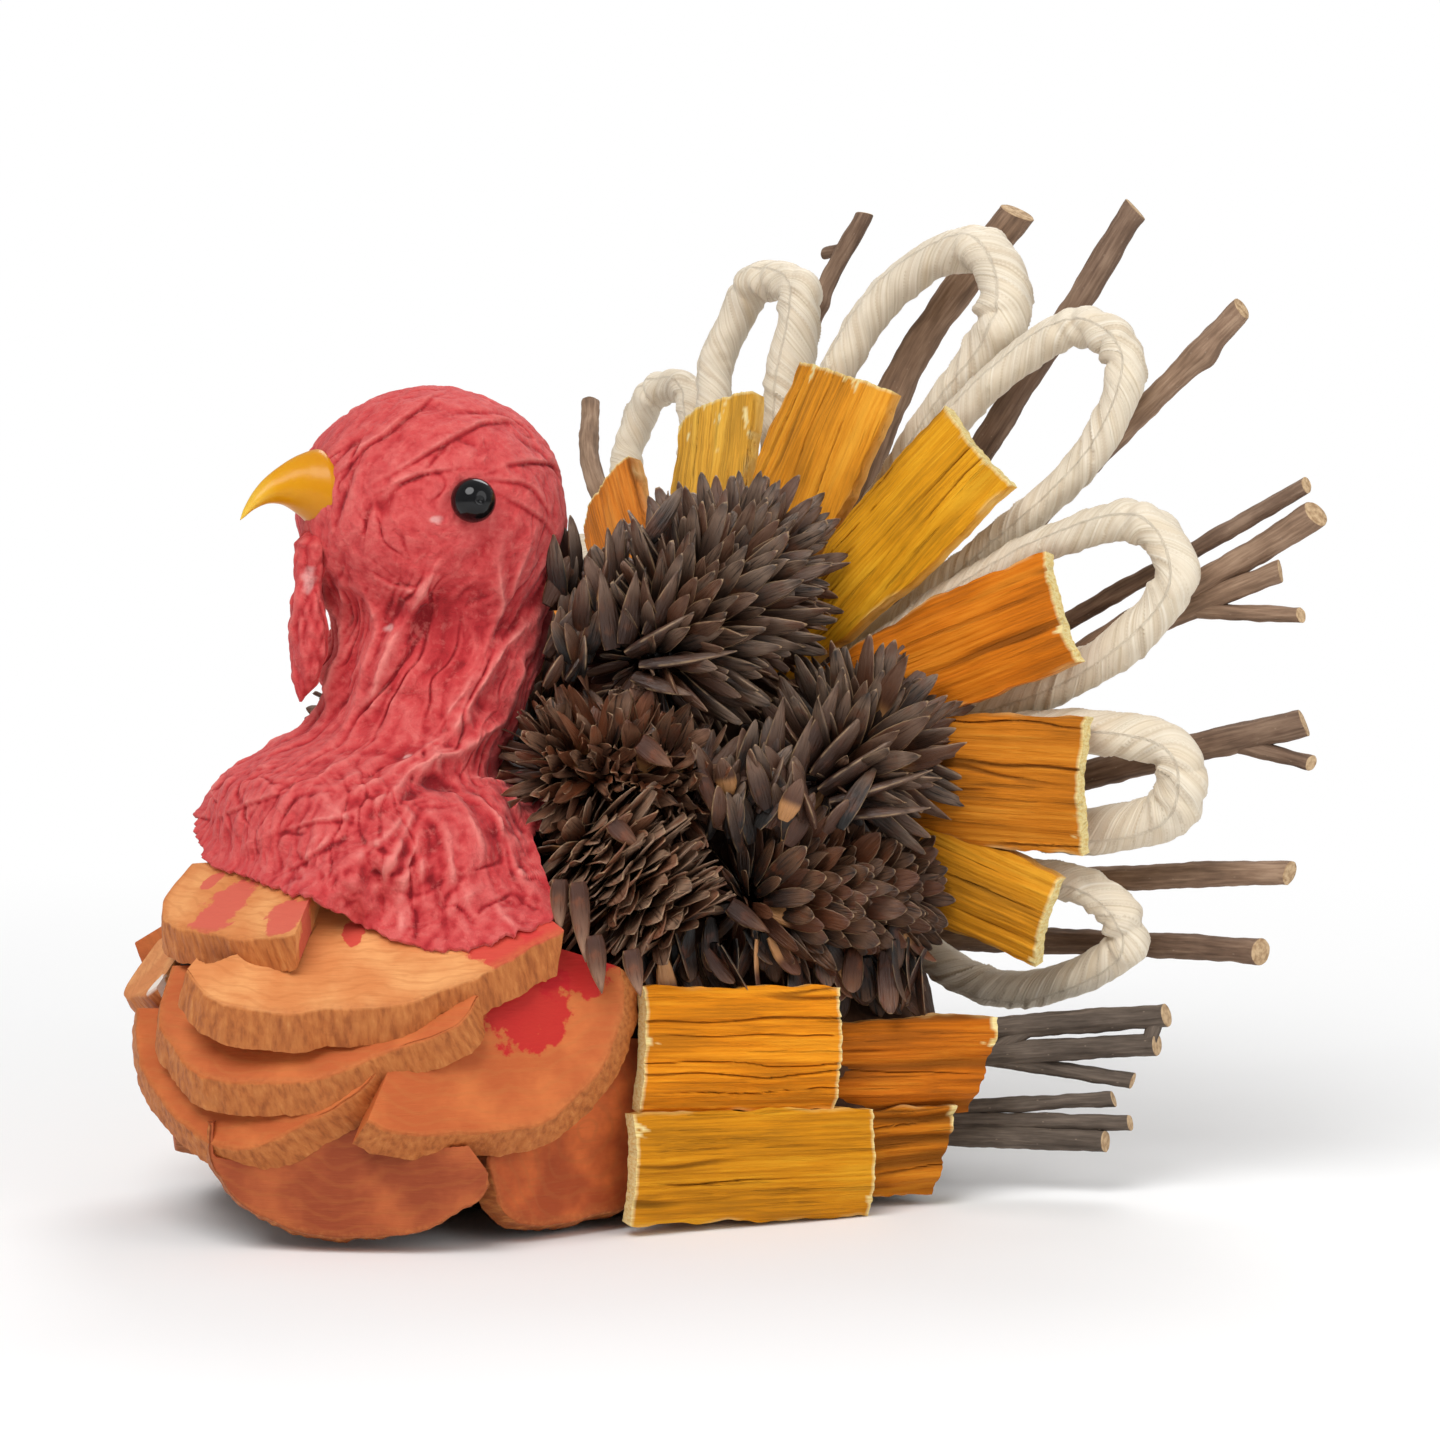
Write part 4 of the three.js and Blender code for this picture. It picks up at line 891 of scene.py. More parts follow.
# Face azimuth, elevation and height over the chest ball, and the slide and drop of the middle; thickness;
# how far the bark spreads at the left, middle and right; the lower edge of the face; and the two ends of the
# hidden line that its rays run to. Outermost first: each slice ends where one before it lies over it.
SLICES = {
    "slice_collar_front": (
        (10, 55, -2, 6.9, 8.5), 7.0, (4.5, 2.0, 1.2),
        [(-24, -19), (-23.5, -27), (-22, -30.6), (-18, -34.2), (-12, -35.7), (-5, -36.1), (4, -36.6),
         (9, -35.8), (13.4, -35.2), (16.2, -34)],
        ((-2, -15), (8, -16)),
    ),
    "slice_collar_left": (
        (50, 52, -6.5, -2, 6.7), 8.0, (2.5, 1.8, 2.0),
        [(-28.3, -34.1), (-26.8, -37.2), (-21.6, -41.6), (-17, -43.1), (-7.4, -44.4), (-3, -43.4),
         (2.3, -43.3), (8, -42.9), (13.4, -41.4), (18, -38.5), (23.6, -35.1), (29, -31.4),
         (34.6, -26.7), (38.1, -24.2)],
        ((-14, -6), (20, -4)),
    ),
    "slice_breast_upper": (
        (35, 42, -9.8, -2.7, -9.1), 7.0, (3.0, 2.6, 1.5),
        [(-24.6, -7), (-23.6, -19.6), (-19.8, -23.9), (-14, -29.4), (-8.8, -30.8), (0.3, -31), (9, -29.7),
         (13.7, -27.6), (18.9, -24.4), (23.5, -22), (29.5, -19.3), (33, -16), (35, -11)],
        ((-8, -6), (14, -8)),
    ),
    "slice_breast_front": (
        (-25, 40, -5.7, 1.2, -3.8), 7.0, (2.0, 2.0, 1.0),
        [(-21, -14), (-19.6, -20.4), (-16, -25), (-8, -26), (-2, -24.6), (6, -22.4), (10, -20.3)],
        ((-6, -8), (4, -8)),
    ),
    "slice_side_upper": (
        (70, 17, 0.3, 0, 4), 6.0, (3.4, 3.7, 4.8),
        [(-15.4, -32.2), (-11.8, -33.9), (-6, -35), (1.2, -35.4), (9.3, -35.3), (15.3, -34.6), (20, -32.6),
         (24, -29.6), (27.7, -25.9), (30.8, -21.3), (33, -16.7), (34, -12.4), (34, -7)],
        ((-4.5, -11), (8, 2)),
    ),
    "slice_breast_middle": (
        (25, 27, -7.8, -1.1, -13.1), 6.5, (4.5, 3.0, 1.5),
        [(-28, -3), (-27.5, -7), (-25.9, -10.6), (-22.9, -14.9), (-18.4, -19.5), (-11.4, -24.6),
         (-4.3, -27.4), (2.3, -27.2), (8.3, -24.9), (13.8, -21.1), (18.7, -17.8), (23, -14), (26, -9)],
        ((-10, -2), (10, -6)),
    ),
    "slice_breast_lower": (
        (45, -3, 2.4, 5.2, -0.5), 5.6, (2.2, 2.3, -0.6),
        [(-28, -14), (-27.9, -20.8), (-26.5, -23.9), (-23.4, -28), (-19, -30.8), (-14.8, -32.6), (-10, -33.7),
         (-4.4, -34), (2, -33.9), (7, -33.4), (12.2, -31.6), (16.5, -29), (20.8, -26), (22, -22)],
        ((-12, -6), (10, -6)),
    ),
    "slice_side_lower": (
        (85, 0, 2.6, 14, -11.6), 5.6, (-0.5, 2.4, 2.2),
        [(-17, 3), (-17.3, -12.5), (-16.5, -16.6), (-15.7, -19.9), (-13.6, -22.7), (-10, -24.5), (-6, -25.3),
         (-0.8, -25.3), (5.2, -24.5), (11.3, -24), (18, -21), (21.5, -12), (21, 6)],
        ((-3, 6), (6, 8)),
    ),
}
# The far side's slices: the same, but the lower edge is a round, given by its radius and its left and right
# ends, and the hidden line by its height
RIGHT_ROUNDS = [
    ((-88, 48, -6.5, 0, 6), 7.0, (1.5, 1.5, 1.5), (42, 30, 26), -12),
    ((-96, 17, -2, 2, 4), 6.0, (3.0, 3.4, 3.4), (35, 32, 28), -6),
    ((-30, -4, -1.5, -2, -1), 5.6, (2.0, 2.0, 1.0), (24, 22, 13), -4),
    ((-99, -2, -0.5, -6, -10), 5.6, (2.0, 2.2, 2.2), (27, 24, 22), 0),
]
# Face colours, bark colour, middle of the growth rings, their spacing, and dye stains (place, size, length)
SLICE_FINISH = {
    "slice_collar_front": (
        SLICE_PALE, RIM_TAN, (0, 60), 2.4,
        [(-6, -29, 6.6, 1.5), (10.8, -29.6, 6.0, 1.0), (-15, -23.6, 2.4, 1.6)], (206, 92, 78),
    ),
    "slice_collar_left": (
        SLICE_PALE, RIM_TAN, (0, 90), 2.6, [(28, -28, 8.6, 0.8), (36, -23, 9.4, 0.9), (0.2, -25, 2.8, 1.4)],
        (200, 58, 54),
    ),
    "slice_breast_upper": (SLICE_ORANGE, RIM_TAN, (0, 60), 2.4, []),
    "slice_breast_front": (SLICE_PALE, RIM_TAN, (0, 50), 2.4, [(8, -21, 4.2, 1.0)], (238, 230, 220)),
    "slice_breast_middle": (SLICE_ORANGE, RIM_TAN, (0, 60), 2.6, []),
    "slice_side_upper": (
        SLICE_ORANGE, RIM_TAN, (10, 50), 2.8, [(15.5, -12, 11.4, 1.0), (25, -5.5, 10.4, 0.8)], (184, 22, 30),
    ),
    "slice_breast_lower": (SLICE_RUST, RIM_BROWN, (0, 40), 3.0, []),
    "slice_side_lower": (((212, 108, 54), (158, 70, 34)), RIM_BROWN, (3, -9), 2.6, []),
}
SLICE_STEP = 0.45
SLICE_REACH = 0.92
RAY_STEPS = 80
BARK_ROWS = 11
# How much of its bark and of its thickness a slice hides others with
COVER_SPREAD = 0.6
COVER_DEPTH = 0.85
# How far a slice at the same level as the one over it stays away from it
LEVEL_GAP = 5.0
# How much shorter a slice is behind than in front at its right end, for each millimetre of depth
END_PULL = 0.42
SLICE_CREASE = 38
RIGHT_SLICE_SEED = 700


def right_slices():
    slices = []
    for plane, thickness, spread, (radius, left, right), top in RIGHT_ROUNDS:
        turn = np.linspace(-math.asin(left / radius), math.asin(right / radius), 9)
        edge = [(radius * math.sin(t), -radius * math.cos(t)) for t in turn]
        slices.append((plane, thickness, spread, edge, ((-left * 0.35, top), (right * 0.35, top))))
    return slices


def slice_frame(spec):
    azimuth, elevation, rise, slide, drop = spec[0]
    face = heading(azimuth, elevation)
    up = heading(azimuth, elevation + 90)
    side = np.cross(up, face)
    origin = CHEST + face * (CHEST_RADIUS + rise) + side * slide + up * drop
    return origin, side, up, face


def inside(outline, u, v):
    """Whether places lie in a closed outline."""
    hit = np.zeros(len(u), bool)
    for (a, b), (c, d) in zip(outline, np.roll(outline, -1, axis=0)):
        if b != d:
            hit ^= ((b > v) != (d > v)) & (u < a + (v - b) / (d - b) * (c - a))
    return hit


def covered(points, spec, level_gap):
    """Whether a slice lies over each point."""
    origin, side, up, face = slice_frame(spec)
    u, v, w = ((points - origin) @ axis for axis in (side, up, face))
    edge = np.array(spec[3], float)
    ahead = unit(np.gradient(edge, axis=0))
    spread = np.interp(np.linspace(0, 1, len(edge)), (0, 0.5, 1), spec[2])[:, None]
    edge = edge + np.column_stack([ahead[:, 1], -ahead[:, 0]]) * spread * COVER_SPREAD
    outline = np.concatenate([edge, np.array(spec[4], float)[::-1]])
    level = smooth(-3.5, -1.5, w)
    return inside(outline, u, v + level_gap * level) & (w > -spec[1] * COVER_DEPTH)


def add_slice(shape, spec, covers, seed):
    """A slab along the lower edge: face, bark and back are one band that goes round, with sawn ends."""
    _, thickness, spread, edge, hubs = spec
    origin, side, up, face = slice_frame(spec)
    edge = np.column_stack([np.array(edge, float), np.zeros(len(edge))])
    length = np.linalg.norm(np.diff(edge, axis=0), axis=1).sum()
    count = int(length / SLICE_STEP)
    line, at = line_through(edge, count)
    along = at / at[-1]
    ahead = unit(np.gradient(line, axis=0))
    outer = np.column_stack([ahead[:, 1], -ahead[:, 0], np.zeros(count)])
    spot = np.column_stack([at, np.zeros(count), np.full(count, seed % 97)])
    brink = line + outer * (0.45 * noise(spot, 9, seed) + 0.22 * noise(spot, 3, seed + 1))[:, None]
    hub = np.column_stack([np.outer(1 - along, hubs[0]) + np.outer(along, hubs[1]), np.zeros(count)])

    # How far each ray from the edge runs in before another slice lies over it
    steps = np.linspace(0, SLICE_REACH, RAY_STEPS)
    ray = brink[:, None] + (hub - brink)[:, None] * steps[None, :, None]
    places = origin + ray[..., :1] * side + ray[..., 1:2] * up
    hidden = np.zeros(ray.shape[:2], bool)
    level_gap = LEVEL_GAP if spec is SLICES["slice_collar_left"] else 0.0
    for other in covers:
        hidden |= covered(places.reshape(-1, 3), other, level_gap).reshape(hidden.shape)
    first = np.where(hidden.any(1), hidden.argmax(1), len(steps) - 1)
    reach = np.maximum(steps[first], 0.04)[:, None]
    rim = np.interp(along, (0, 0.5, 1), spread)
    pull = ahead * (END_PULL * smooth(0.9, 1.0, along))[:, None]
    ridge = 0.3 * noise(spot, 1.2, seed + 2) + 0.45 * noise(spot, 4, seed + 3)

    # Rows round the band: place in the face, depth, bark share
    rows = [(brink + (hub - brink) * reach * share, 0.0, 0.0) for share in (1, 0.7, 0.45, 0.2, 0.07)]
    rows.append((brink - outer * 0.35, 0.0, 0.4))
    rows.append((brink - outer * 0.08, 0.1, 0.3))
    for t in np.linspace(0.05, 1, BARK_ROWS):
        rough = 0.22 * noise(spot + np.array([0, t * 6, 0]), 1.8, seed + 4)
        out = rim * t ** 0.9 + ridge * min(1, 0.25 + t) * 0.8 + rough
        rows.append((brink + outer * out[:, None], 0.2 + t * (thickness - 0.4), 1.0))
    rows.append((brink + outer * (rim - 0.8)[:, None], thickness, 0.8))
    rows.append((brink + (hub - brink) * reach, thickness, 0.0))
    grid = np.zeros((count, len(rows), 3))
    plane = np.zeros((count, len(rows), 3))
    bark = np.zeros((count, len(rows)))
    for k, (flat, depth, share) in enumerate(rows):
        flat = flat - pull * depth
        grid[:, k] = origin + flat[:, :1] * side + flat[:, 1:2] * up - depth * face
        plane[:, k] = np.column_stack([flat[:, :2], np.full(count, -depth)])
        bark[:, k] = share
    faces = grid_faces(count, len(rows))
    shape.add(grid, faces, plane=plane.reshape(-1, 3), bark=bark.ravel())
    for end, turn in ((0, -1), (count - 1, 1)):
        cap = [list(range(len(rows)))[::-turn]]
        shape.add(grid[end], cap, plane=plane[end] + np.array([0, 0, 20.0]), bark=bark[end] * 0.25)


def build_slices():
    covers = []
    for name, spec in SLICES.items():
        shape = Shape()
        add_slice(shape, spec, covers, seed_of(name))
        covers.append(spec)
        look = slice_look(name[6:], *SLICE_FINISH[name])
        shape.piece(name + "_wood", look, name, crease=SLICE_CREASE)
    shape = Shape()
    for i, spec in enumerate(right_slices()):
        add_slice(shape, spec, covers, RIGHT_SLICE_SEED + i)
        covers.append(spec)
    look = slice_look("right", SLICE_ORANGE, RIM_BROWN)
    shape.piece("slices_right_wood", look, "slices_right", crease=SLICE_CREASE)


# Cones

# Stem end, axis, core length and radius, scale length and width, number of scales, lean at stem and tip,
# how far the scales stray, and which form they have
CONES = {
    "cone_top": ((31, -0.5, 102.5), (-0.17, 0.87, 0.46), 43, 13, 15.5, 3.9, 430, 98, 46, 1.2, "lance"),
    "cone_side_upper": ((50, 29, 79.5), (-0.24, 0.85, 0.4), 24, 8.5, 16.5, 4.0, 210, 100, 54, 1.2, "lance"),
    "cone_side_lower": ((45.5, 12, 58), (0.04, 0.98, 0.0), 37, 9.5, 12.5, 4.0, 430, 86, 58, 1.0, "petal"),
    "cone_neck": ((34.5, 8, 78), (-0.2, -0.85, 0.2), 29, 8.5, 13, 3.0, 480, 98, 52, 3.2, "plate"),
    "cone_breast": ((35.5, -18.5, 72), (0.487, 0.505, -0.698), 25, 6, 12.5, 6.0, 330, 96, 84, 0.7, "plate"),
    "cone_right_upper": ((-40, 20, 82), (0.05, 0.85, 0.45), 36, 9, 16, 4.2, 330, 94, 46, 1.1, "lance"),
    "cone_right_lower": ((-44, 2, 54), (-0.02, 0.99, 0.05), 40, 9, 13, 4.2, 400, 88, 54, 1.0, "petal"),
    "cone_right_neck": ((-36, 6, 80), (0.25, -0.9, 0.2), 28, 8.5, 13.5, 3.4, 400, 94, 50, 2.6, "plate"),
}
# Share of the length, half width and half thickness along one scale
SCALE_FORMS = {
    "lance": [
        (0.0, 0.5, 0.16), (0.15, 0.8, 0.24), (0.34, 1.0, 0.27), (0.54, 0.98, 0.25), (0.72, 0.8, 0.2),
        (0.86, 0.54, 0.15), (0.95, 0.3, 0.1), (1.0, 0.06, 0.04),
    ],
    "petal": [
        (0.0, 0.5, 0.1), (0.2, 0.8, 0.12), (0.42, 1.0, 0.11), (0.62, 1.04, 0.1), (0.78, 0.94, 0.08),
        (0.89, 0.7, 0.06), (0.96, 0.42, 0.05), (1.0, 0.14, 0.03),
    ],
    "spear": [
        (0.0, 0.75, 0.2), (0.12, 0.95, 0.24), (0.3, 1.0, 0.26), (0.5, 0.86, 0.24), (0.7, 0.6, 0.18),
        (0.86, 0.32, 0.12), (0.95, 0.14, 0.07), (1.0, 0.03, 0.03),
    ],
    "plate": [
        (0.0, 0.6, 0.07), (0.2, 0.9, 0.07), (0.45, 1.0, 0.06), (0.68, 1.0, 0.055), (0.82, 0.84, 0.05),
        (0.91, 0.6, 0.045), (0.97, 0.36, 0.04), (1.0, 0.12, 0.03),
    ],
}
SCALE_SIDES = 10
GOLDEN_ANGLE = 137.508
# Scales that came loose, by the cone they lie by: base, tip and width
LOOSE_SCALES = {
    "cone_breast": [
        ((47.9, -32, 66), (48.3, -32.8, 56.5), 3.8),
        ((50, -29.5, 65.5), (51.4, -29.5, 51.2), 4.2),
        ((52.3, -27.8, 56), (53.7, -27.5, 45.6), 4.4),
        ((56.6, -22.8, 53.5), (58, -22, 45), 4.0),
    ],
    "cone_top": [
        ((33.5, -5, 105), (44.3, 2.4, 112.3), 5.2),
        ((35.2, -3.3, 103), (49.7, 8, 104.8), 5.2),
        ((35.8, -2, 108.5), (42, 0.5, 120.3), 4.6),
        ((33, -5.3, 107), (37, -5.4, 120.3), 4.8),
        ((31.5, -7.2, 106), (32.7, -10.5, 120.8), 4.6),
        ((34.6, -4.2, 101), (44.8, 1.3, 97), 4.8),
    ],
    "cone_side_upper": [
        ((46.5, 17, 79), (51.3, 18.4, 96.6), 5.2),
        ((49, 19.7, 77), (55, 22.4, 93), 5.4),
        ((51, 23, 84), (57.8, 26.4, 99.5), 5.2),
        ((52.6, 24.6, 82), (61.5, 30.3, 94), 5.4),
        ((53.5, 25.3, 79), (65.3, 34.2, 88.8), 5.4),
        ((54.8, 26.6, 77), (69.8, 38.9, 82.3), 5.0),
        ((56, 28, 74.7), (69.8, 38.2, 75.4), 4.8),
    ],
    "cone_side_lower": [
        ((51, 5, 59), (55, 11, 53.5), 4.4),
    ],
    "cone_neck": [
        ((48, -14, 90), (50, -8, 85), 4.6),
        ((50, -22, 76), (53, -18, 71), 4.2),
        ((46, 2, 84), (49, 4, 74), 3.6),
    ],
}
LOOSE_SHADE = 0.72
# Rows of scales that fill the gaps beside a cone: number, both ends, and up or down
SCALE_ROWS = {
    "cone_top": [
        (20, (21.2, -12.4, 99.8), (25.8, -5.5, 112.9), 1.0),
        (16, (17.9, -9.2, 112.7), (23.1, 0.9, 120.1), 1.0),
        (10, (23.1, -14.0, 99.0), (28.5, -7.7, 107.4), 0.8),
    ],
    "cone_side_lower": [
        (30, (52, 24, 48), (59, 46, 48), -1.0),
        (30, (47, -12, 53), (51, 24, 51), -1.0),
    ],
    "cone_side_upper": [
        (26, (45, 7, 71), (57, 21, 72), 1.0),
        (26, (41, 4, 78), (52, 18, 80), 1.0),
    ],
}


def add_scale(shape, form, base, ahead, out, length, width, curl, shade, broken=1.0, warp=0.0):
    """One scale: a blade with a keel, bent towards out by curl, its edges waved by warp."""
    side = np.cross(ahead, out)
    rows = len(form)
    turn = circle(SCALE_SIDES)
    points = np.zeros((rows, SCALE_SIDES, 3))
    grain = np.zeros((rows, SCALE_SIDES, 3))
    for i, (share, wide, thick) in enumerate(form):
        t = share * broken
        centre = base + ahead * (t * length) + out * (curl * length * t * t)
        half = wide * width / 2
        x = np.cos(turn) * half
        y = np.sin(turn) * thick * width * 0.8 - 0.18 * half * np.cos(turn) ** 2
        y = y + warp * width * np.cos(turn) * math.sin(5 * t + shade * 40)
        points[i] = centre + side * x[:, None] + out * y[:, None]
        grain[i] = np.column_stack([x, np.full(SCALE_SIDES, t * length), np.full(SCALE_SIDES, shade * 50)])
    faces = grid_faces(rows, SCALE_SIDES).tolist()
    faces.append([(rows - 1) * SCALE_SIDES + i for i in range(SCALE_SIDES)])
    rim = np.tile((np.abs(np.cos(turn)) > 0.99).astype(float), (rows, 1))
    rim[-1] = 1.0
    shape.add(
        points, faces, grain=grain.reshape(-1, 3), rim=rim.ravel(),
        along=np.repeat([row[0] * broken for row in form], SCALE_SIDES), shade=shade,
    )


def build_cone(name, look):
    stem, axis, length, core, reach, width, count, lean_stem, lean_tip, stray, form = CONES[name]
    form = SCALE_FORMS[form]
    rng = np.random.default_rng(seed_of(name))
    stem = np.array(stem, float)
    axis = unit(axis)
    first = unit(np.cross(axis, (0.3, 0.2, 1.0)))
    second = np.cross(axis, first)
    shape = Shape()
    for i in range(count):
        t = (i + 0.5) / count
        shut = max(0.0, 1 - t / 0.06)
        turn = math.radians(i * GOLDEN_ANGLE) + rng.normal(0, 0.07) * stray
        out = first * math.cos(turn) + second * math.sin(turn)
        radius = core * (0.55 + 0.45 * math.sin(math.pi * min(0.25 + 0.75 * t, 1)))
        radius = radius * (1 - 0.8 * shut)
        lean = math.radians(mix(lean_stem, lean_tip, t ** 1.2) + 50 * shut + rng.normal(0, 7) * stray)
        ahead = axis * math.cos(lean) + out * math.sin(lean)
        keel = out * math.cos(lean) - axis * math.sin(lean)
        keel = unit(keel + rng.normal(0, 0.2, 3) * stray)
        keel = unit(keel - ahead * (keel @ ahead))
        plump = 0.76 + 0.3 * math.sin(math.pi * (0.15 + 0.75 * t))
        size = plump * rng.uniform(0.8, 1.15) * (1 - 0.55 * shut)
        base = stem + axis * (t * length) + out * radius * 0.55
        broken = 1.0 if rng.random() > 0.4 else rng.uniform(0.7, 0.96)
        add_scale(
            shape, form, base, ahead, -keel, reach * size, width * size * rng.uniform(0.85, 1.1),
            rng.uniform(-0.06, 0.2), rng.random(), broken, rng.uniform(0, 0.16) * stray,
        )
    for base, tip, wide in LOOSE_SCALES.get(name, ()):
        base, tip = np.array(base, float), np.array(tip, float)
        ahead = unit(tip - base)
        out = unit(np.cross(ahead, (0.2, 1.0, 0.1)))
        size = np.linalg.norm(tip - base)
        add_scale(shape, SCALE_FORMS["spear"], base, ahead, out, size, wide, 0.05, LOOSE_SHADE)
    for number, start, end, rise in SCALE_ROWS.get(name, ()):
        for k in range(number):
            base = mix(np.array(start, float), np.array(end, float), k / (number - 1)) + rng.normal(0, 2.2, 3)
            ahead = unit(np.array([rng.uniform(-0.1, 0.5), rng.uniform(-0.6, 0.7), rise]))
            out = unit(np.cross(ahead, (0.2, 1.0, 0.1)) + rng.normal(0, 0.6, 3))
            out = unit(out - ahead * (out @ ahead))
            size = rng.uniform(9, 15)
            curl, shade, broken = rng.uniform(-0.1, 0.25), rng.random(), rng.uniform(0.75, 1)
            add_scale(shape, form, base, ahead, out, size, width, curl, shade, broken)
    shape.piece(name + "_scales", look, name)


# Bark strips of the tail and wings

# Angle across the tail, reach, width and colour
TAIL_STRIPS = {
    "tail_strip_1": (139.6, 85, 24, (210, 120, 34)),
    "tail_strip_2": (106.5, 78.5, 25, (224, 164, 54)),
    "tail_strip_3": (77, 83.5, 29, (222, 143, 30)),
    "tail_strip_4": (49.5, 88, 23, (221, 150, 18)),
    "tail_strip_5": (23, 88.5, 23, (211, 114, 12)),
    "tail_strip_6": (-1, 88.5, 26, (204, 119, 22)),
    "tail_strip_7": (-20.5, 85, 19, (212, 138, 22)),
}
RIGHT_STRIPS = [(166, 88, 22), (184, 88, 25), (202, 88, 20)]
RIGHT_ROOT_WIDTH = 11.0
RIGHT_STRIP_SEED = 900
# Both ends, width and colour
WING_STRIPS = {
    "wing_strip_upper": ((51.1, -16.3, 34.1), (63, 21, 32), 23, (224, 133, 10)),
    "wing_strip_lower": ((52.5, -19.5, 12.4), (65.5, 27, 10.4), 20.5, (205, 132, 10)),
    "wing_strip_rear_upper": ((55, 20, 27.5), (70, 54, 26.5), 15.5, (194, 103, 8)),
    "wing_strip_rear_lower": ((56, 22, 10), (68, 46, 11), 14, (190, 108, 10)),
}
# How far in from the end the skin has flaked off, in millimetres
FLAKE = 4.5
FLAKED = {"tail_strip_2": 26.0, "tail_strip_3": 9.0}
STRIP_THICKNESS = 3.2
STRIP_CROWN = 2.6
WING_THICKNESS = 3.6
WING_CROWN = 2.0
TEAR_DEPTH = 0.35
STRIP_STEP_ALONG = 0.8
STRIP_STEP_ACROSS = 0.24
BARK_CREASE = 60
FAR_SIDE = np.array([-1, 1, 1])


def add_strip(
    shape, start, end, out, widths, thickness, crown, seed, wrinkle=0.0, skew=0.0, pleat=0.0, flaked=FLAKE,
):
    """A split strip of bark: top and underside are one band that goes round, torn at both ends."""
    start, end = np.array(start, float), np.array(end, float)
    length = np.linalg.norm(end - start)
    ahead = (end - start) / length
    side = unit(np.cross(ahead, out))
    lift = np.cross(side, ahead)
    rows = int(length / STRIP_STEP_ALONG) + 1
    columns = int(max(widths) / STRIP_STEP_ACROSS) + 1
    t, c = np.meshgrid(np.linspace(0, 1, rows), np.linspace(-1, 1, columns), indexing="ij")
    spot = seed % 83
    lane = np.column_stack([np.zeros(rows), np.linspace(0, length, rows), np.full(rows, spot)])
    half = mix(*widths, np.minimum(t * 1.6, 1)) / 2
    left = fields(noise, lane, (0.9, 11, seed), (0.4, 3, seed + 1))
    right = fields(noise, lane, (0.9, 11, seed + 2), (0.4, 3, seed + 3))
    x = c * half + np.where(c > 0, right[:, None] * c, left[:, None] * c)
    flat = np.stack([x, t * length, np.full_like(x, spot)], -1).reshape(-1, 3)

    def field(size, number, across=1, along=1):
        return noise(flat * (across, along, 1), size, seed + number)

    def band(top, under):
        """Values of the top and the underside in rows that go round the strip."""
        top, under = (np.reshape(part, (rows, columns, -1)) for part in (top, under))
        return np.concatenate([top, under[:, ::-1]], 1)

    tear = TEAR_DEPTH * (field(5, 4, along=0) + 0.7 * field(1.1, 5, along=0))
    y = (t * length).ravel() + tear * (smooth(0.93, 1, t) - 0.6 * (1 - smooth(0, 0.07, t))).ravel()
    y = y - skew * ((c + 0.6) * smooth(0.4, 1, t)).ravel()
    rise = 0.5 * field(4.5, 6, along=0.22)
    rise = rise + 0.3 * field(1.5, 7, along=0.05) + 0.22 * field(0.7, 8, along=0.05)
    bent = np.column_stack([flat[:, 0] + 0.9 * field(1.0, 15, 0.2, 0.06), flat[:, 1:]])
    split = np.abs(noise(bent * (1, 0.03, 1), 4.6, seed + 9))
    crack = (1 - smooth(0.02, 0.06, split)) * smooth(-0.2, 0.25, field(9, 10, along=0.35))
    folds = crumple(bent * (1, 0.06, 1), 3.6, 3, seed + 18)
    rise = rise - 0.6 * crack + pleat * folds
    gather = min(pleat, 1)
    # Painted shade: the colour darkens in the valleys of the pleats, carried in the same value as the real
    # cracks.
    fold_valley_shade = smooth(0.3 - 0.25 * gather, 0.9 - 0.4 * gather, -folds)
    crack = np.maximum(crack, fold_valley_shade * min(0.95, 0.7 * pleat))
    bow = 0.8 * field(30, 12, across=0.15)
    arch = crown * (1 - c.ravel() ** 2)
    top = arch + rise + wrinkle * np.abs(field(7, 11, across=0.3)) + bow
    top = top * (0.35 + 0.65 * (1 - smooth(0.9, 1.0, np.abs(c)).ravel()))
    under = arch - thickness + 0.3 * noise(flat * (1, 0.22, 1) + 50, 5, seed + 13) + bow
    upper = start + flat[:, :1] * side + y[:, None] * ahead + top[:, None] * lift
    lower = start + flat[:, :1] * side * 0.97 + y[:, None] * ahead + under[:, None] * lift
    chip = 1.1 * field(3.4, 16, along=0.4) + 0.4 * field(1.0, 17)
    gap = np.minimum(length - y, y)
    torn = np.maximum(smooth(0.0, 0.12, chip - 0.3 - gap / flaked), 1 - smooth(0.15, 0.5, gap + 0.3 * chip))
    ragged = smooth(0.93, 1.0, np.abs(c)).ravel() * 0.7 * smooth(-0.1, 0.4, field(8, 14))
    ring = band(upper, lower)
    grain = band(*(np.column_stack([flat[:, :2], depth + spot]) for depth in (top, under)))
    pith = band(np.clip(torn + ragged * 0.5, 0, 1), np.full(len(flat), 0.35))
    crack_and_fold_shade_band = band(crack, np.zeros(len(flat)))
    faces = grid_faces(rows, columns * 2)
    shape.add(ring, faces, grain=grain.reshape(-1, 3), pith=pith.ravel(), crack=crack_and_fold_shade_band.ravel())
    first = [[j, j + 1, columns * 2 - 2 - j, columns * 2 - 1 - j] for j in range(columns - 1)]
    last = [[k + columns * 2 for k in quad[::-1]] for quad in first]
    shape.add(ring[[0, -1]], first + last, grain=grain[[0, -1]].reshape(-1, 3), pith=1.0, crack=0.0)


def add_tail_strip(shape, angle, reach, width, root_width, seed, flaked=FLAKE):
    add_strip(
        shape, fan_point(STRIP_APEX_Y, angle, STRIP_ROOT), fan_point(STRIP_APEX_Y, angle, reach), (0, -1, 0),
        (root_width, width), STRIP_THICKNESS, STRIP_CROWN, seed, wrinkle=0.3, pleat=0.35, flaked=flaked,
    )


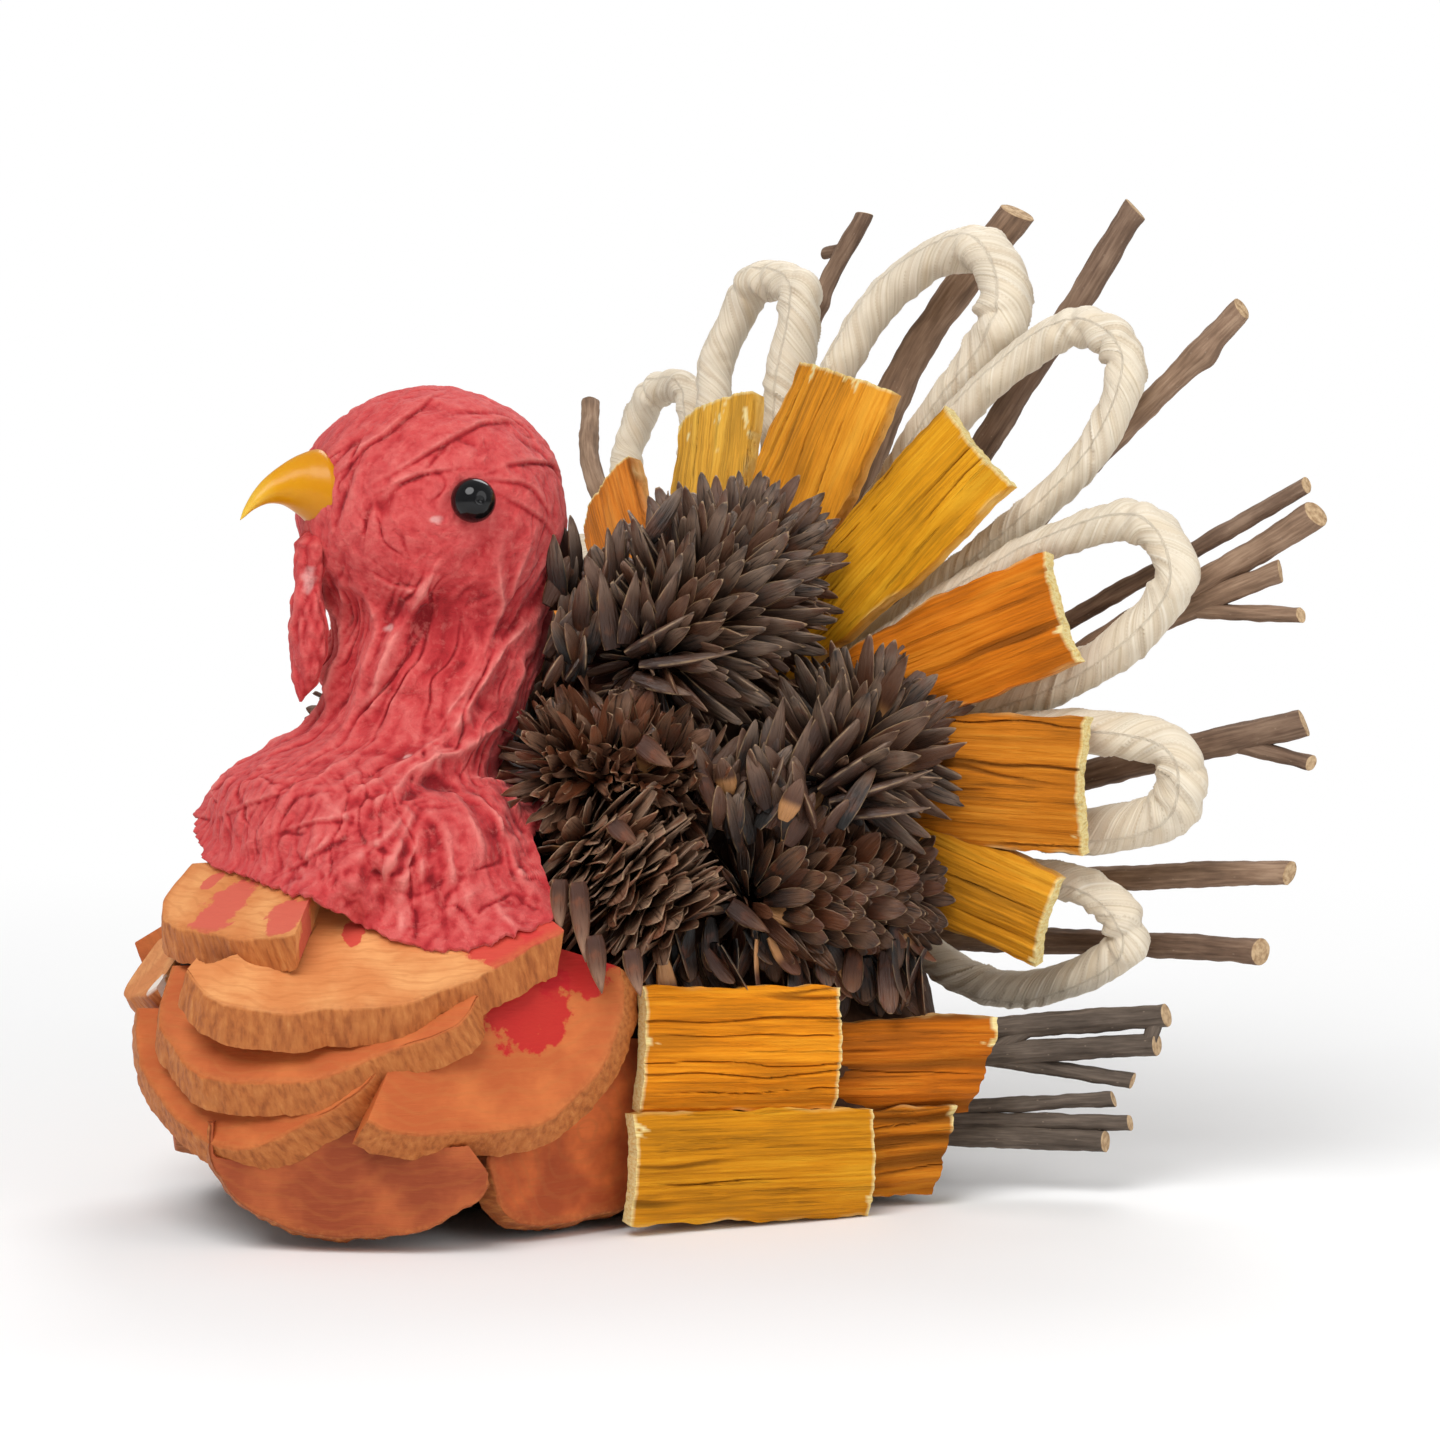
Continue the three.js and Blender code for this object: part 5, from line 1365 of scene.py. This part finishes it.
def build_strips():
    for name, (angle, reach, width, colour) in TAIL_STRIPS.items():
        shape = Shape()
        add_tail_strip(shape, angle, reach, width, STRIP_ROOT_WIDTH, seed_of(name), FLAKED.get(name, FLAKE))
        shape.piece(name + "_bark", bark_look(name, colour), name, crease=BARK_CREASE)
    shape = Shape()
    for i, (angle, reach, width) in enumerate(RIGHT_STRIPS):
        add_tail_strip(shape, angle, reach, width, RIGHT_ROOT_WIDTH, RIGHT_STRIP_SEED + 20 * i)
    look = bark_look("right", TAIL_STRIPS["tail_strip_1"][3])
    shape.piece("tail_strips_right_bark", look, "tail_strips_right", crease=BARK_CREASE)
    for name, (start, end, width, colour) in WING_STRIPS.items():
        shape = Shape()
        flare, skew, pleat = (2.5, 2.7, 1.8) if "rear" in name else (0.0, 0.0, 0.28)
        add_strip(
            shape, start, end, (1, 0, 0), (width, width + flare), WING_THICKNESS, WING_CROWN, seed_of(name),
            wrinkle=0.6, skew=skew, pleat=pleat,
        )
        shape.piece(name + "_bark", bark_look(name, colour), name, crease=BARK_CREASE)
    shape = Shape()
    for name in ("wing_strip_upper", "wing_strip_lower"):
        start, end, width, colour = WING_STRIPS[name]
        add_strip(
            shape, start * FAR_SIDE, end * FAR_SIDE, (-1, 0, 0), (width, width),
            WING_THICKNESS, WING_CROWN, seed_of(name) + 40, wrinkle=0.6,
        )
    look = bark_look("wing_right", colour)
    shape.piece("wing_strips_right_bark", look, "wing_strips_right", crease=BARK_CREASE)


# Wrapped loops of the tail

# Rope diameter, and the rope's line as (angle, distance) places on the tail's cone
TAIL_LOOPS = {
    "tail_loop_1": (7.5, [
        (141, 28), (143.8, 72.8), (140.3, 102.7), (132.4, 107.5), (125.9, 97.6), (131, 67.1), (124, 28),
    ]),
    "tail_loop_2": (9, [
        (113, 32), (117, 71.2), (116.6, 97.2), (109.2, 109.3), (102.2, 103.8), (102.5, 81.7), (99, 32),
    ]),
    "tail_loop_3": (9, [
        (86, 32), (87.4, 79.9), (81.9, 102.7), (72.1, 113.9), (64.7, 103.8), (67.1, 77.1), (69, 32),
    ]),
    "tail_loop_4": (8.2, [
        (59, 32), (59.4, 89.2), (54.1, 112.5), (47.9, 114.6), (42.8, 100.5), (41.1, 65.2), (43, 32),
    ]),
    "tail_loop_5": (8.4, [
        (33, 32), (34, 83.8), (29.6, 102.9), (22.6, 102.9), (16.1, 83.7), (12.7, 56.4), (17, 32),
    ]),
    "tail_loop_6": (9.4, [
        (3, 32), (6, 82.7), (2.9, 98.7), (-3.4, 97.8), (-7.8, 83.7), (-10.6, 60.6), (-10, 32),
    ]),
    "tail_loop_7": (8, [
        (-25, 32), (-18.6, 64.7), (-16.7, 85.8), (-21.1, 92.5), (-28.9, 86.3), (-41.9, 70), (-52, 40),
    ]),
}
RIGHT_LOOPS = (7.6, [
    (157, 33), (155, 78), (156, 103), (162, 104), (166, 82), (167, 58),
    (172.5, 47), (178, 58), (178, 84), (181, 102), (187, 102), (190, 82), (191, 58),
    (196.5, 47), (202, 58), (201, 78), (204, 94), (210, 92), (213, 70), (217, 36),
])
# Strips of husk side by side, and the length of one turn of a strip in rope diameters
WRAP_STARTS = 6
WRAP_PITCH = 2.7
# Where the husk lies looser: share of the rope's length and how much thicker it is there
LOOP_SWELLS = {
    "tail_loop_2": [(0.72, 0.3), (0.36, -0.12)],
    "tail_loop_3": [(0.6, 0.3), (0.3, -0.1), (0.8, -0.1)],
    "tail_loop_4": [(0.3, -0.14), (0.7, -0.1)],
    "tail_loop_5": [(0.3, -0.14), (0.62, 0.12)],
    "tail_loop_6": [(0.6, 0.12)],
}
ROPE_SIDES = 48
ROPE_STEP = 0.5
RIGHT_LOOP_SEED = 640
ROUND_CREASE = 50


def add_rope(shape, line, diameter, back_y, seed, swells=()):
    """A core wound with strips of husk whose edges run slantwise round it."""
    last = len(line) - 1
    places = [fan_point(mix(LOOP_FRONT_Y, back_y, i / last), *spot) for i, spot in enumerate(line)]
    total = sum(np.linalg.norm(b - a) for a, b in zip(places, places[1:]))
    rows = int(total / ROPE_STEP)
    centres, at = line_through(places, rows)
    ahead, across, up = frames_along(centres)
    s, phi = np.meshgrid(at, circle(ROPE_SIDES), indexing="ij")
    lane = np.column_stack([np.zeros(rows), at, np.full(rows, seed % 71)])
    wander = 4.0 * noise(lane, 30, seed) + 1.2 * noise(lane, 9, seed + 3)
    lead = (s + wander[:, None]) / (diameter * WRAP_PITCH)
    phase = WRAP_STARTS * (lead + phi / FULL_TURN)
    band = np.floor(phase)
    lot = lot_of(band)
    share = np.clip((phase - band - 0.25 * lot) / (1 - 0.25 * lot), 0, 1)
    twist = phi + FULL_TURN * lead
    around = rolled(diameter / 2, phi, s)
    pleat = rolled(diameter / 2, twist, s * 0.06 + band * 3.7)
    radius = diameter / 2 * 0.9 + (0.06 + 0.5 * lot ** 2) * share ** 1.5
    radius = radius + (0.5 * noise(around, 7, seed + 1) + 0.14 * noise(pleat, 1.1, seed + 2)).reshape(s.shape)
    bend = np.linalg.norm(np.gradient(ahead, axis=0), axis=1) / np.gradient(at)
    bend = smooth(0.02, 0.11, np.convolve(bend, np.ones(9) / 9, mode="same"))
    squeezed = around * (0.5, 0.5, 1)
    radius = radius + bend[:, None] * (1.3 * billow(squeezed, 5, seed + 4) - 0.3).reshape(s.shape)
    for place, rise in swells:
        radius = radius * (1 + rise * np.exp(-((s / at[-1] - place) / 0.09) ** 2))
    # Painted shade on the husk just under each overlapping edge, darker where the step is higher.
    lap = (1 - smooth(0.0, 0.12, share)) * smooth(0.3, 0.95, lot)
    faces = grid_faces(rows, ROPE_SIDES).tolist()
    faces.append(list(range(ROPE_SIDES))[::-1])
    faces.append([(rows - 1) * ROPE_SIDES + i for i in range(ROPE_SIDES)])
    grain = rolled(diameter / 2, twist, s + band * 31)
    shape.add(tube(centres, across, up, phi, radius), faces, grain=grain, lap=lap.ravel())


def build_loops(look):
    for name, (diameter, line) in TAIL_LOOPS.items():
        shape = Shape()
        add_rope(shape, line, diameter, LOOP_BACK_Y, seed_of(name), LOOP_SWELLS.get(name, ()))
        shape.piece(name + "_husk", look, name, crease=ROUND_CREASE)
    diameter, line = RIGHT_LOOPS
    shape = Shape()
    add_rope(shape, line, diameter, LOOP_FRONT_Y, RIGHT_LOOP_SEED)
    shape.piece("tail_loops_right_husk", look, "tail_loops_right", crease=ROUND_CREASE)


# Sticks and twigs

# Places as (angle, distance), and the diameters at root and tip
TAIL_STICKS = {
    "tail_stick_1": dict(root=(168, 24), via=(-91.7, 85.2, 137), tip=(146.2, 140), tip_y=50, thick=(5, 4.4)),
    "tail_stick_2": dict(
        root=(118, 22), bend=(106.6, 99), tip=(99.4, 120.8), thick=(5, 4), knots=[0.8],
        forks=[(0.84, (105.2, 115), 3.2)],
    ),
    "tail_stick_3": dict(root=(88, 20), bend=(83.8, 83.4), tip=(75.7, 120.8), thick=(7.5, 7.2)),
    "tail_stick_4": dict(root=(56, 24), tip=(62.3, 131.7), thick=(6, 5.6)),
    "tail_stick_5": dict(root=(36, 22), tip=(45.8, 131.6), thick=(5.4, 4.8), knots=[0.9]),
    "tail_stick_6": dict(root=(15, 26), tip=(27.7, 125.8), thick=(4, 3.4)),
    "tail_stick_7": dict(
        root=(-8, 26), tip=(24.8, 125.7), thick=(6.2, 5.4),
        forks=[(0.55, (20.9, 115.6), 4.8), (0.66, (16.1, 117.5), 3.4)],
    ),
    "tail_stick_8": dict(
        root=(-30, 28), tip=(5.6, 115.4), thick=(6.4, 5.8),
        forks=[(0.82, (1.4, 116.4), 3.4)],
    ),
    "tail_stick_9": dict(root=(-52, 36), tip=(-9.7, 113.6), thick=(5.6, 5)),
    "tail_stick_10": dict(root=(-62, 44), tip=(-18.8, 111.3), thick=(5.6, 5)),
    "tail_sticks_right": dict(
        root=(190, 26), tip=(162, 118), thick=(6, 4.6),
        forks=[(0.1, (179, 116), 5), (0.05, (196, 114), 5)],
    ),
}
# Both ends and the thickness of each branch
UPPER_FORK = [
    ((38, 46, 28), (88, 83, 35), 4.9),
    ((39, 45, 23.5), (87, 81.5, 29.6), 4.7),
    ((58, 59.5, 26), (82, 80, 22), 3.3),
    ((67, 67.5, 32), (61, 62, 26.3), 3.6),
    ((86.4, 81.9, 34.6), (85.6, 80.6, 29.6), 3.2),
]
LOWER_FORK = [
    ((39, 44, 14), (80, 77, 18.5), 3.2),
    ((39, 43, 12.6), (83, 78.4, 14.2), 3.5),
    ((39, 42, 11), (80, 74.7, 10.5), 4.7),
]
# Lines of a forked twig, and the side it is on
WING_TWIGS = {
    "wing_twig_upper": (UPPER_FORK, 1),
    "wing_twig_lower": (LOWER_FORK, 1),
    "wing_twig_right": (UPPER_FORK, -1),
}
STICK_SIDES = 26
STICK_STEP = 0.8
STICK_ROWS_LEAST = 12


def add_stick(shape, places, thick_from, thick_to, seed, knots=(), crook=0.5):
    """A round stick with knots, a little crooked, and sawn aslant at its tip."""
    places = np.array(places, float)
    total = np.linalg.norm(np.diff(places, axis=0), axis=1).sum()
    rows = max(int(total / STICK_STEP), STICK_ROWS_LEAST)
    centres, at = line_through(places, rows)
    lane = np.column_stack([at, np.zeros(rows), np.full(rows, seed % 67)])
    calm = crook * smooth(0, 12, at)[:, None]
    centres = centres + calm * np.column_stack([noise(lane, 26, seed + k) for k in range(3)])
    ahead, across, up = frames_along(centres)
    turn = circle(STICK_SIDES)
    s, phi = np.meshgrid(at, turn, indexing="ij")
    size = mix(thick_from, thick_to, s / total) / 2
    around = rolled(size, phi, s)
    radius = size * (0.96 + 0.10 * noise(lane, 9, seed + 5)[:, None])
    for k in knots:
        place = np.exp(-((s - k * total) / (thick_to * 0.55)) ** 2)
        radius = radius + place * thick_to * 0.13 * (1.1 + np.cos(phi - k * 9))
    ridges = 0.16 * noise(around * (1, 1, 0.16), 1.1, seed + 6) + 0.2 * noise(around, 2.6, seed + 7)
    points = tube(centres, across, up, phi, radius + ridges.reshape(s.shape))
    slant = 0.14 * np.cos(turn - seed)[:, None] * thick_to
    points[-1] = points[-1] + ahead[-1] * slant
    points[-2] = points[-2] + ahead[-2] * slant * 0.8
    shape.add(points, grid_faces(rows, STICK_SIDES), grain=around, cut=0.0)
    rim = points[-1]
    middle = rim.mean(0)
    rings = [rim, mix(rim, middle, 0.06) + ahead[-1] * 0.12, mix(rim, middle, 0.5) + ahead[-1] * 0.1]
    cap = np.concatenate(rings)
    faces = grid_faces(3, STICK_SIDES).tolist()
    faces.append([2 * STICK_SIDES + i for i in range(STICK_SIDES)])
    out = cap - middle
    local = np.column_stack([out @ across[-1], out @ up[-1], np.full(len(cap), seed % 61)])
    shape.add(cap, faces, grain=local, cut=np.repeat([0.6, 1.0, 1.0], STICK_SIDES))
    shape.add(points[0], [list(range(STICK_SIDES))[::-1]], grain=around[:STICK_SIDES], cut=1.0)


def stick_place(spot, apex_y=STICK_APEX_Y):
    return fan_point(apex_y, *spot)


def build_sticks(looks):
    for i, (name, spec) in enumerate(TAIL_STICKS.items()):
        shape = Shape()
        start = stick_place(spec["root"])
        end = stick_place(spec["tip"], spec.get("tip_y", STICK_APEX_Y))
        middle = np.array(spec.get("via", mix(start, end, 0.5)))
        if "bend" in spec:
            middle = stick_place(spec["bend"])
        add_stick(shape, [start, middle, end], *spec["thick"], seed_of(name), spec.get("knots", ()))
        for k, (at, tip, size) in enumerate(spec.get("forks", ())):
            foot = mix(start, middle, 2 * at) if at < 0.5 else mix(middle, end, 2 * at - 1)
            add_stick(shape, [foot, stick_place(tip)], size, size * 0.9, seed_of(name) + 9 * k + 9)
        shape.piece(name + "_bark", looks[i % 2], name, crease=ROUND_CREASE)
    for name, (lines, side) in WING_TWIGS.items():
        shape = Shape()
        for k, (start, end, size) in enumerate(lines):
            ends = np.array([start, end]) * (side, 1, 1)
            add_stick(shape, ends, size, size * 0.95, seed_of(name) + 13 * k, crook=0.35)
        shape.piece(name + "_bark", looks[2], name, crease=ROUND_CREASE)


# Foam body and head core

FOAM_STEP = 1.1
# How far above a slice's hidden line, and from how far out, the foam is pressed in
PRESS_ABOVE = 12
PRESS_DEPTH = 18


def under_slices(places):
    """Places pressed in where they would stand through a slice or just above one."""
    for spec in list(SLICES.values()) + right_slices():
        origin, side, up, face = slice_frame(spec)
        u, v, w = ((places - origin) @ axis for axis in (side, up, face))
        (a, b), (c, d) = spec[4]
        outline = np.array(list(spec[3]) + [(c, d + PRESS_ABOVE), (a, b + PRESS_ABOVE)], float)
        sunk = w + spec[1] * 0.6
        hit = inside(outline, u, v) & (sunk > 0) & (sunk < PRESS_DEPTH)
        places = places - np.where(hit, sunk, 0.0)[:, None] * face
    return places


def build_foam(look):
    made = placed("foam_body_painted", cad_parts["foam_body"].data.copy())
    remesh = made.modifiers.new("even", "REMESH")
    remesh.mode = "VOXEL"
    remesh.voxel_size = FOAM_STEP * MM
    blur = made.modifiers.new("soft", "SMOOTH")
    blur.factor = 0.5
    blur.iterations = 4
    bpy.context.view_layer.update()
    ready = made.evaluated_get(bpy.context.evaluated_depsgraph_get())
    mesh = bpy.data.meshes.new_from_object(ready)
    made.modifiers.clear()
    made.data = mesh
    place = np.zeros(len(mesh.vertices) * 3)
    mesh.vertices.foreach_get("co", place)
    place = place.reshape(-1, 3)
    normals = np.array([v.normal[:] for v in mesh.vertices])
    rough = 0.35 * noise(place / MM, 6, 71) + 0.2 * noise(place / MM, 2.6, 72) - 0.35
    moved = place + normals * (rough * MM)[:, None]
    moved = under_slices(moved / MM) * MM
    moved[:, 2] = np.where(place[:, 2] < 0.6 * MM, place[:, 2], moved[:, 2])
    mesh.vertices.foreach_set("co", moved.ravel())
    mesh.polygons.foreach_set("use_smooth", np.ones(len(mesh.polygons), bool))
    mesh.materials.clear()
    mesh.materials.append(look)
    mesh.update()
    hand_over(made, "foam_body")
    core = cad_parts["head_core"]
    core.data.materials.clear()
    core.data.materials.append(look)


# Stage: floor, lights and camera

# What the camera looks at, and where it stands
TARGET = np.array([4.7, 41.5, 89.0])
VIEW_AZIMUTH = 50.0
VIEW_ELEVATION = 4.0
VIEW_DISTANCE = 750.0
LENS = 93.75
SENSOR_WIDTH = 36
FAR_CLIP = 50
FLOOR_HALF = 6.0
# Name, place, size and power of the lamps, and the place they point at
LAMPS = [
    ("key", (350, -700, 1000), 0.8, 10.5),
    ("fill", (950, 150, 500), 0.9, 3.4),
    ("rim", (-500, 700, 900), 0.7, 5.0),
]
LIT_PLACE = (0, 10, 85)
WORLD_LIGHT = 0.38


def aim(thing, place, target):
    thing.location = Vector(place) * MM
    thing.rotation_euler = (Vector(target) - Vector(place)).to_track_quat("-Z", "Y").to_euler()


def build_floor():
    """A pale floor that fades to plain white away from the figure."""
    mesh = bpy.data.meshes.new("floor")
    corners = ((-1, -1), (1, -1), (1, 1), (-1, 1))
    mesh.from_pydata([(x * FLOOR_HALF, y * FLOOR_HALF, 0) for x, y in corners], [], [[0, 1, 2, 3]])
    floor = placed("floor", mesh)
    look = Look("pale_floor", 0.9, Base_Color=(0.9, 0.9, 0.9, 1))
    away = look.node("VectorMath", {0: look.place()}, operation="LENGTH")
    far = look.span(away.outputs["Value"], 0.16, 0.6)
    seen = look.node("LightPath").outputs["Is Camera Ray"]
    white = look.node("Emission", {"Color": (255, 255, 255), "Strength": 1.0})
    both = look.node("MixShader", {0: look.times(far, seen), 1: look.shader.outputs[0], 2: white.outputs[0]})
    look.put(look.tree.nodes["Material Output"].inputs["Surface"], both.outputs[0])
    mesh.materials.append(look.material)


def build_world():
    """Soft light from all round, and a white background for the camera."""
    world = bpy.data.worlds.new("studio")
    world.use_nodes = True
    bpy.context.scene.world = world
    tree = world.node_tree
    tree.nodes.clear()
    path = tree.nodes.new("ShaderNodeLightPath")
    soft = tree.nodes.new("ShaderNodeBackground")
    soft.inputs["Strength"].default_value = WORLD_LIGHT
    seen = tree.nodes.new("ShaderNodeBackground")
    seen.inputs["Strength"].default_value = 1.0
    for node in (soft, seen):
        node.inputs["Color"].default_value = (1, 1, 1, 1)
    both = tree.nodes.new("ShaderNodeMixShader")
    out = tree.nodes.new("ShaderNodeOutputWorld")
    tree.links.new(path.outputs["Is Camera Ray"], both.inputs[0])
    tree.links.new(soft.outputs[0], both.inputs[1])
    tree.links.new(seen.outputs[0], both.inputs[2])
    tree.links.new(both.outputs[0], out.inputs["Surface"])


def build_lamps():
    for name, place, size, power in LAMPS:
        lamp = bpy.data.lights.new(name, "AREA")
        lamp.shape = "DISK"
        lamp.size = size
        lamp.energy = power
        aim(placed(name, lamp), place, LIT_PLACE)


def build_camera():
    scene = bpy.context.scene
    camera = bpy.data.cameras.new("photo")
    camera.lens = LENS
    camera.sensor_width = SENSOR_WIDTH
    camera.clip_end = FAR_CLIP
    scene.camera = placed("photo", camera)
    aim(scene.camera, TARGET + heading(VIEW_AZIMUTH, VIEW_ELEVATION) * VIEW_DISTANCE, TARGET)
    scene.view_settings.view_transform = "Standard"


paper = paper_look()
build_paper(paper)
build_snood(paper)
build_beak(beak_look())
bead = bead_look()
build_eye(bead, "eye_left", HEAD_TURN + EYE_ANGLE)
build_eye(bead, "eye_right", HEAD_TURN - EYE_ANGLE)
build_slices()
# The first colour of every cone look is painted shade at the roots of the scales, and also the colour of
# their dark streaks.
cone_looks = {
    "lance": cone_look("grey", (12, 7, 4), (58, 41, 31), (118, 95, 78), (100, 58, 35)),
    "petal": cone_look("dark", (11, 6, 4), (54, 35, 25), (106, 74, 52), (106, 55, 28)),
    "plate": cone_look("russet", (24, 14, 10), (86, 57, 42), (128, 94, 72), (132, 70, 38)),
}
pale_cone = cone_look("pale", (28, 18, 13), (104, 76, 59), (158, 126, 102), (132, 70, 38))
for cone, spec in CONES.items():
    build_cone(cone, pale_cone if cone == "cone_breast" else cone_looks[spec[-1]])
build_strips()
build_loops(husk_look())
build_sticks([
    stick_look("brown", (104, 82, 66), (136, 109, 88), (166, 138, 114)),
    stick_look("umber", (86, 67, 54), (116, 92, 75), (144, 119, 99)),
    stick_look("grey", (68, 58, 50), (94, 82, 72), (120, 106, 94)),
])
build_foam(foam_look())
build_floor()
build_world()
build_lamps()
build_camera()
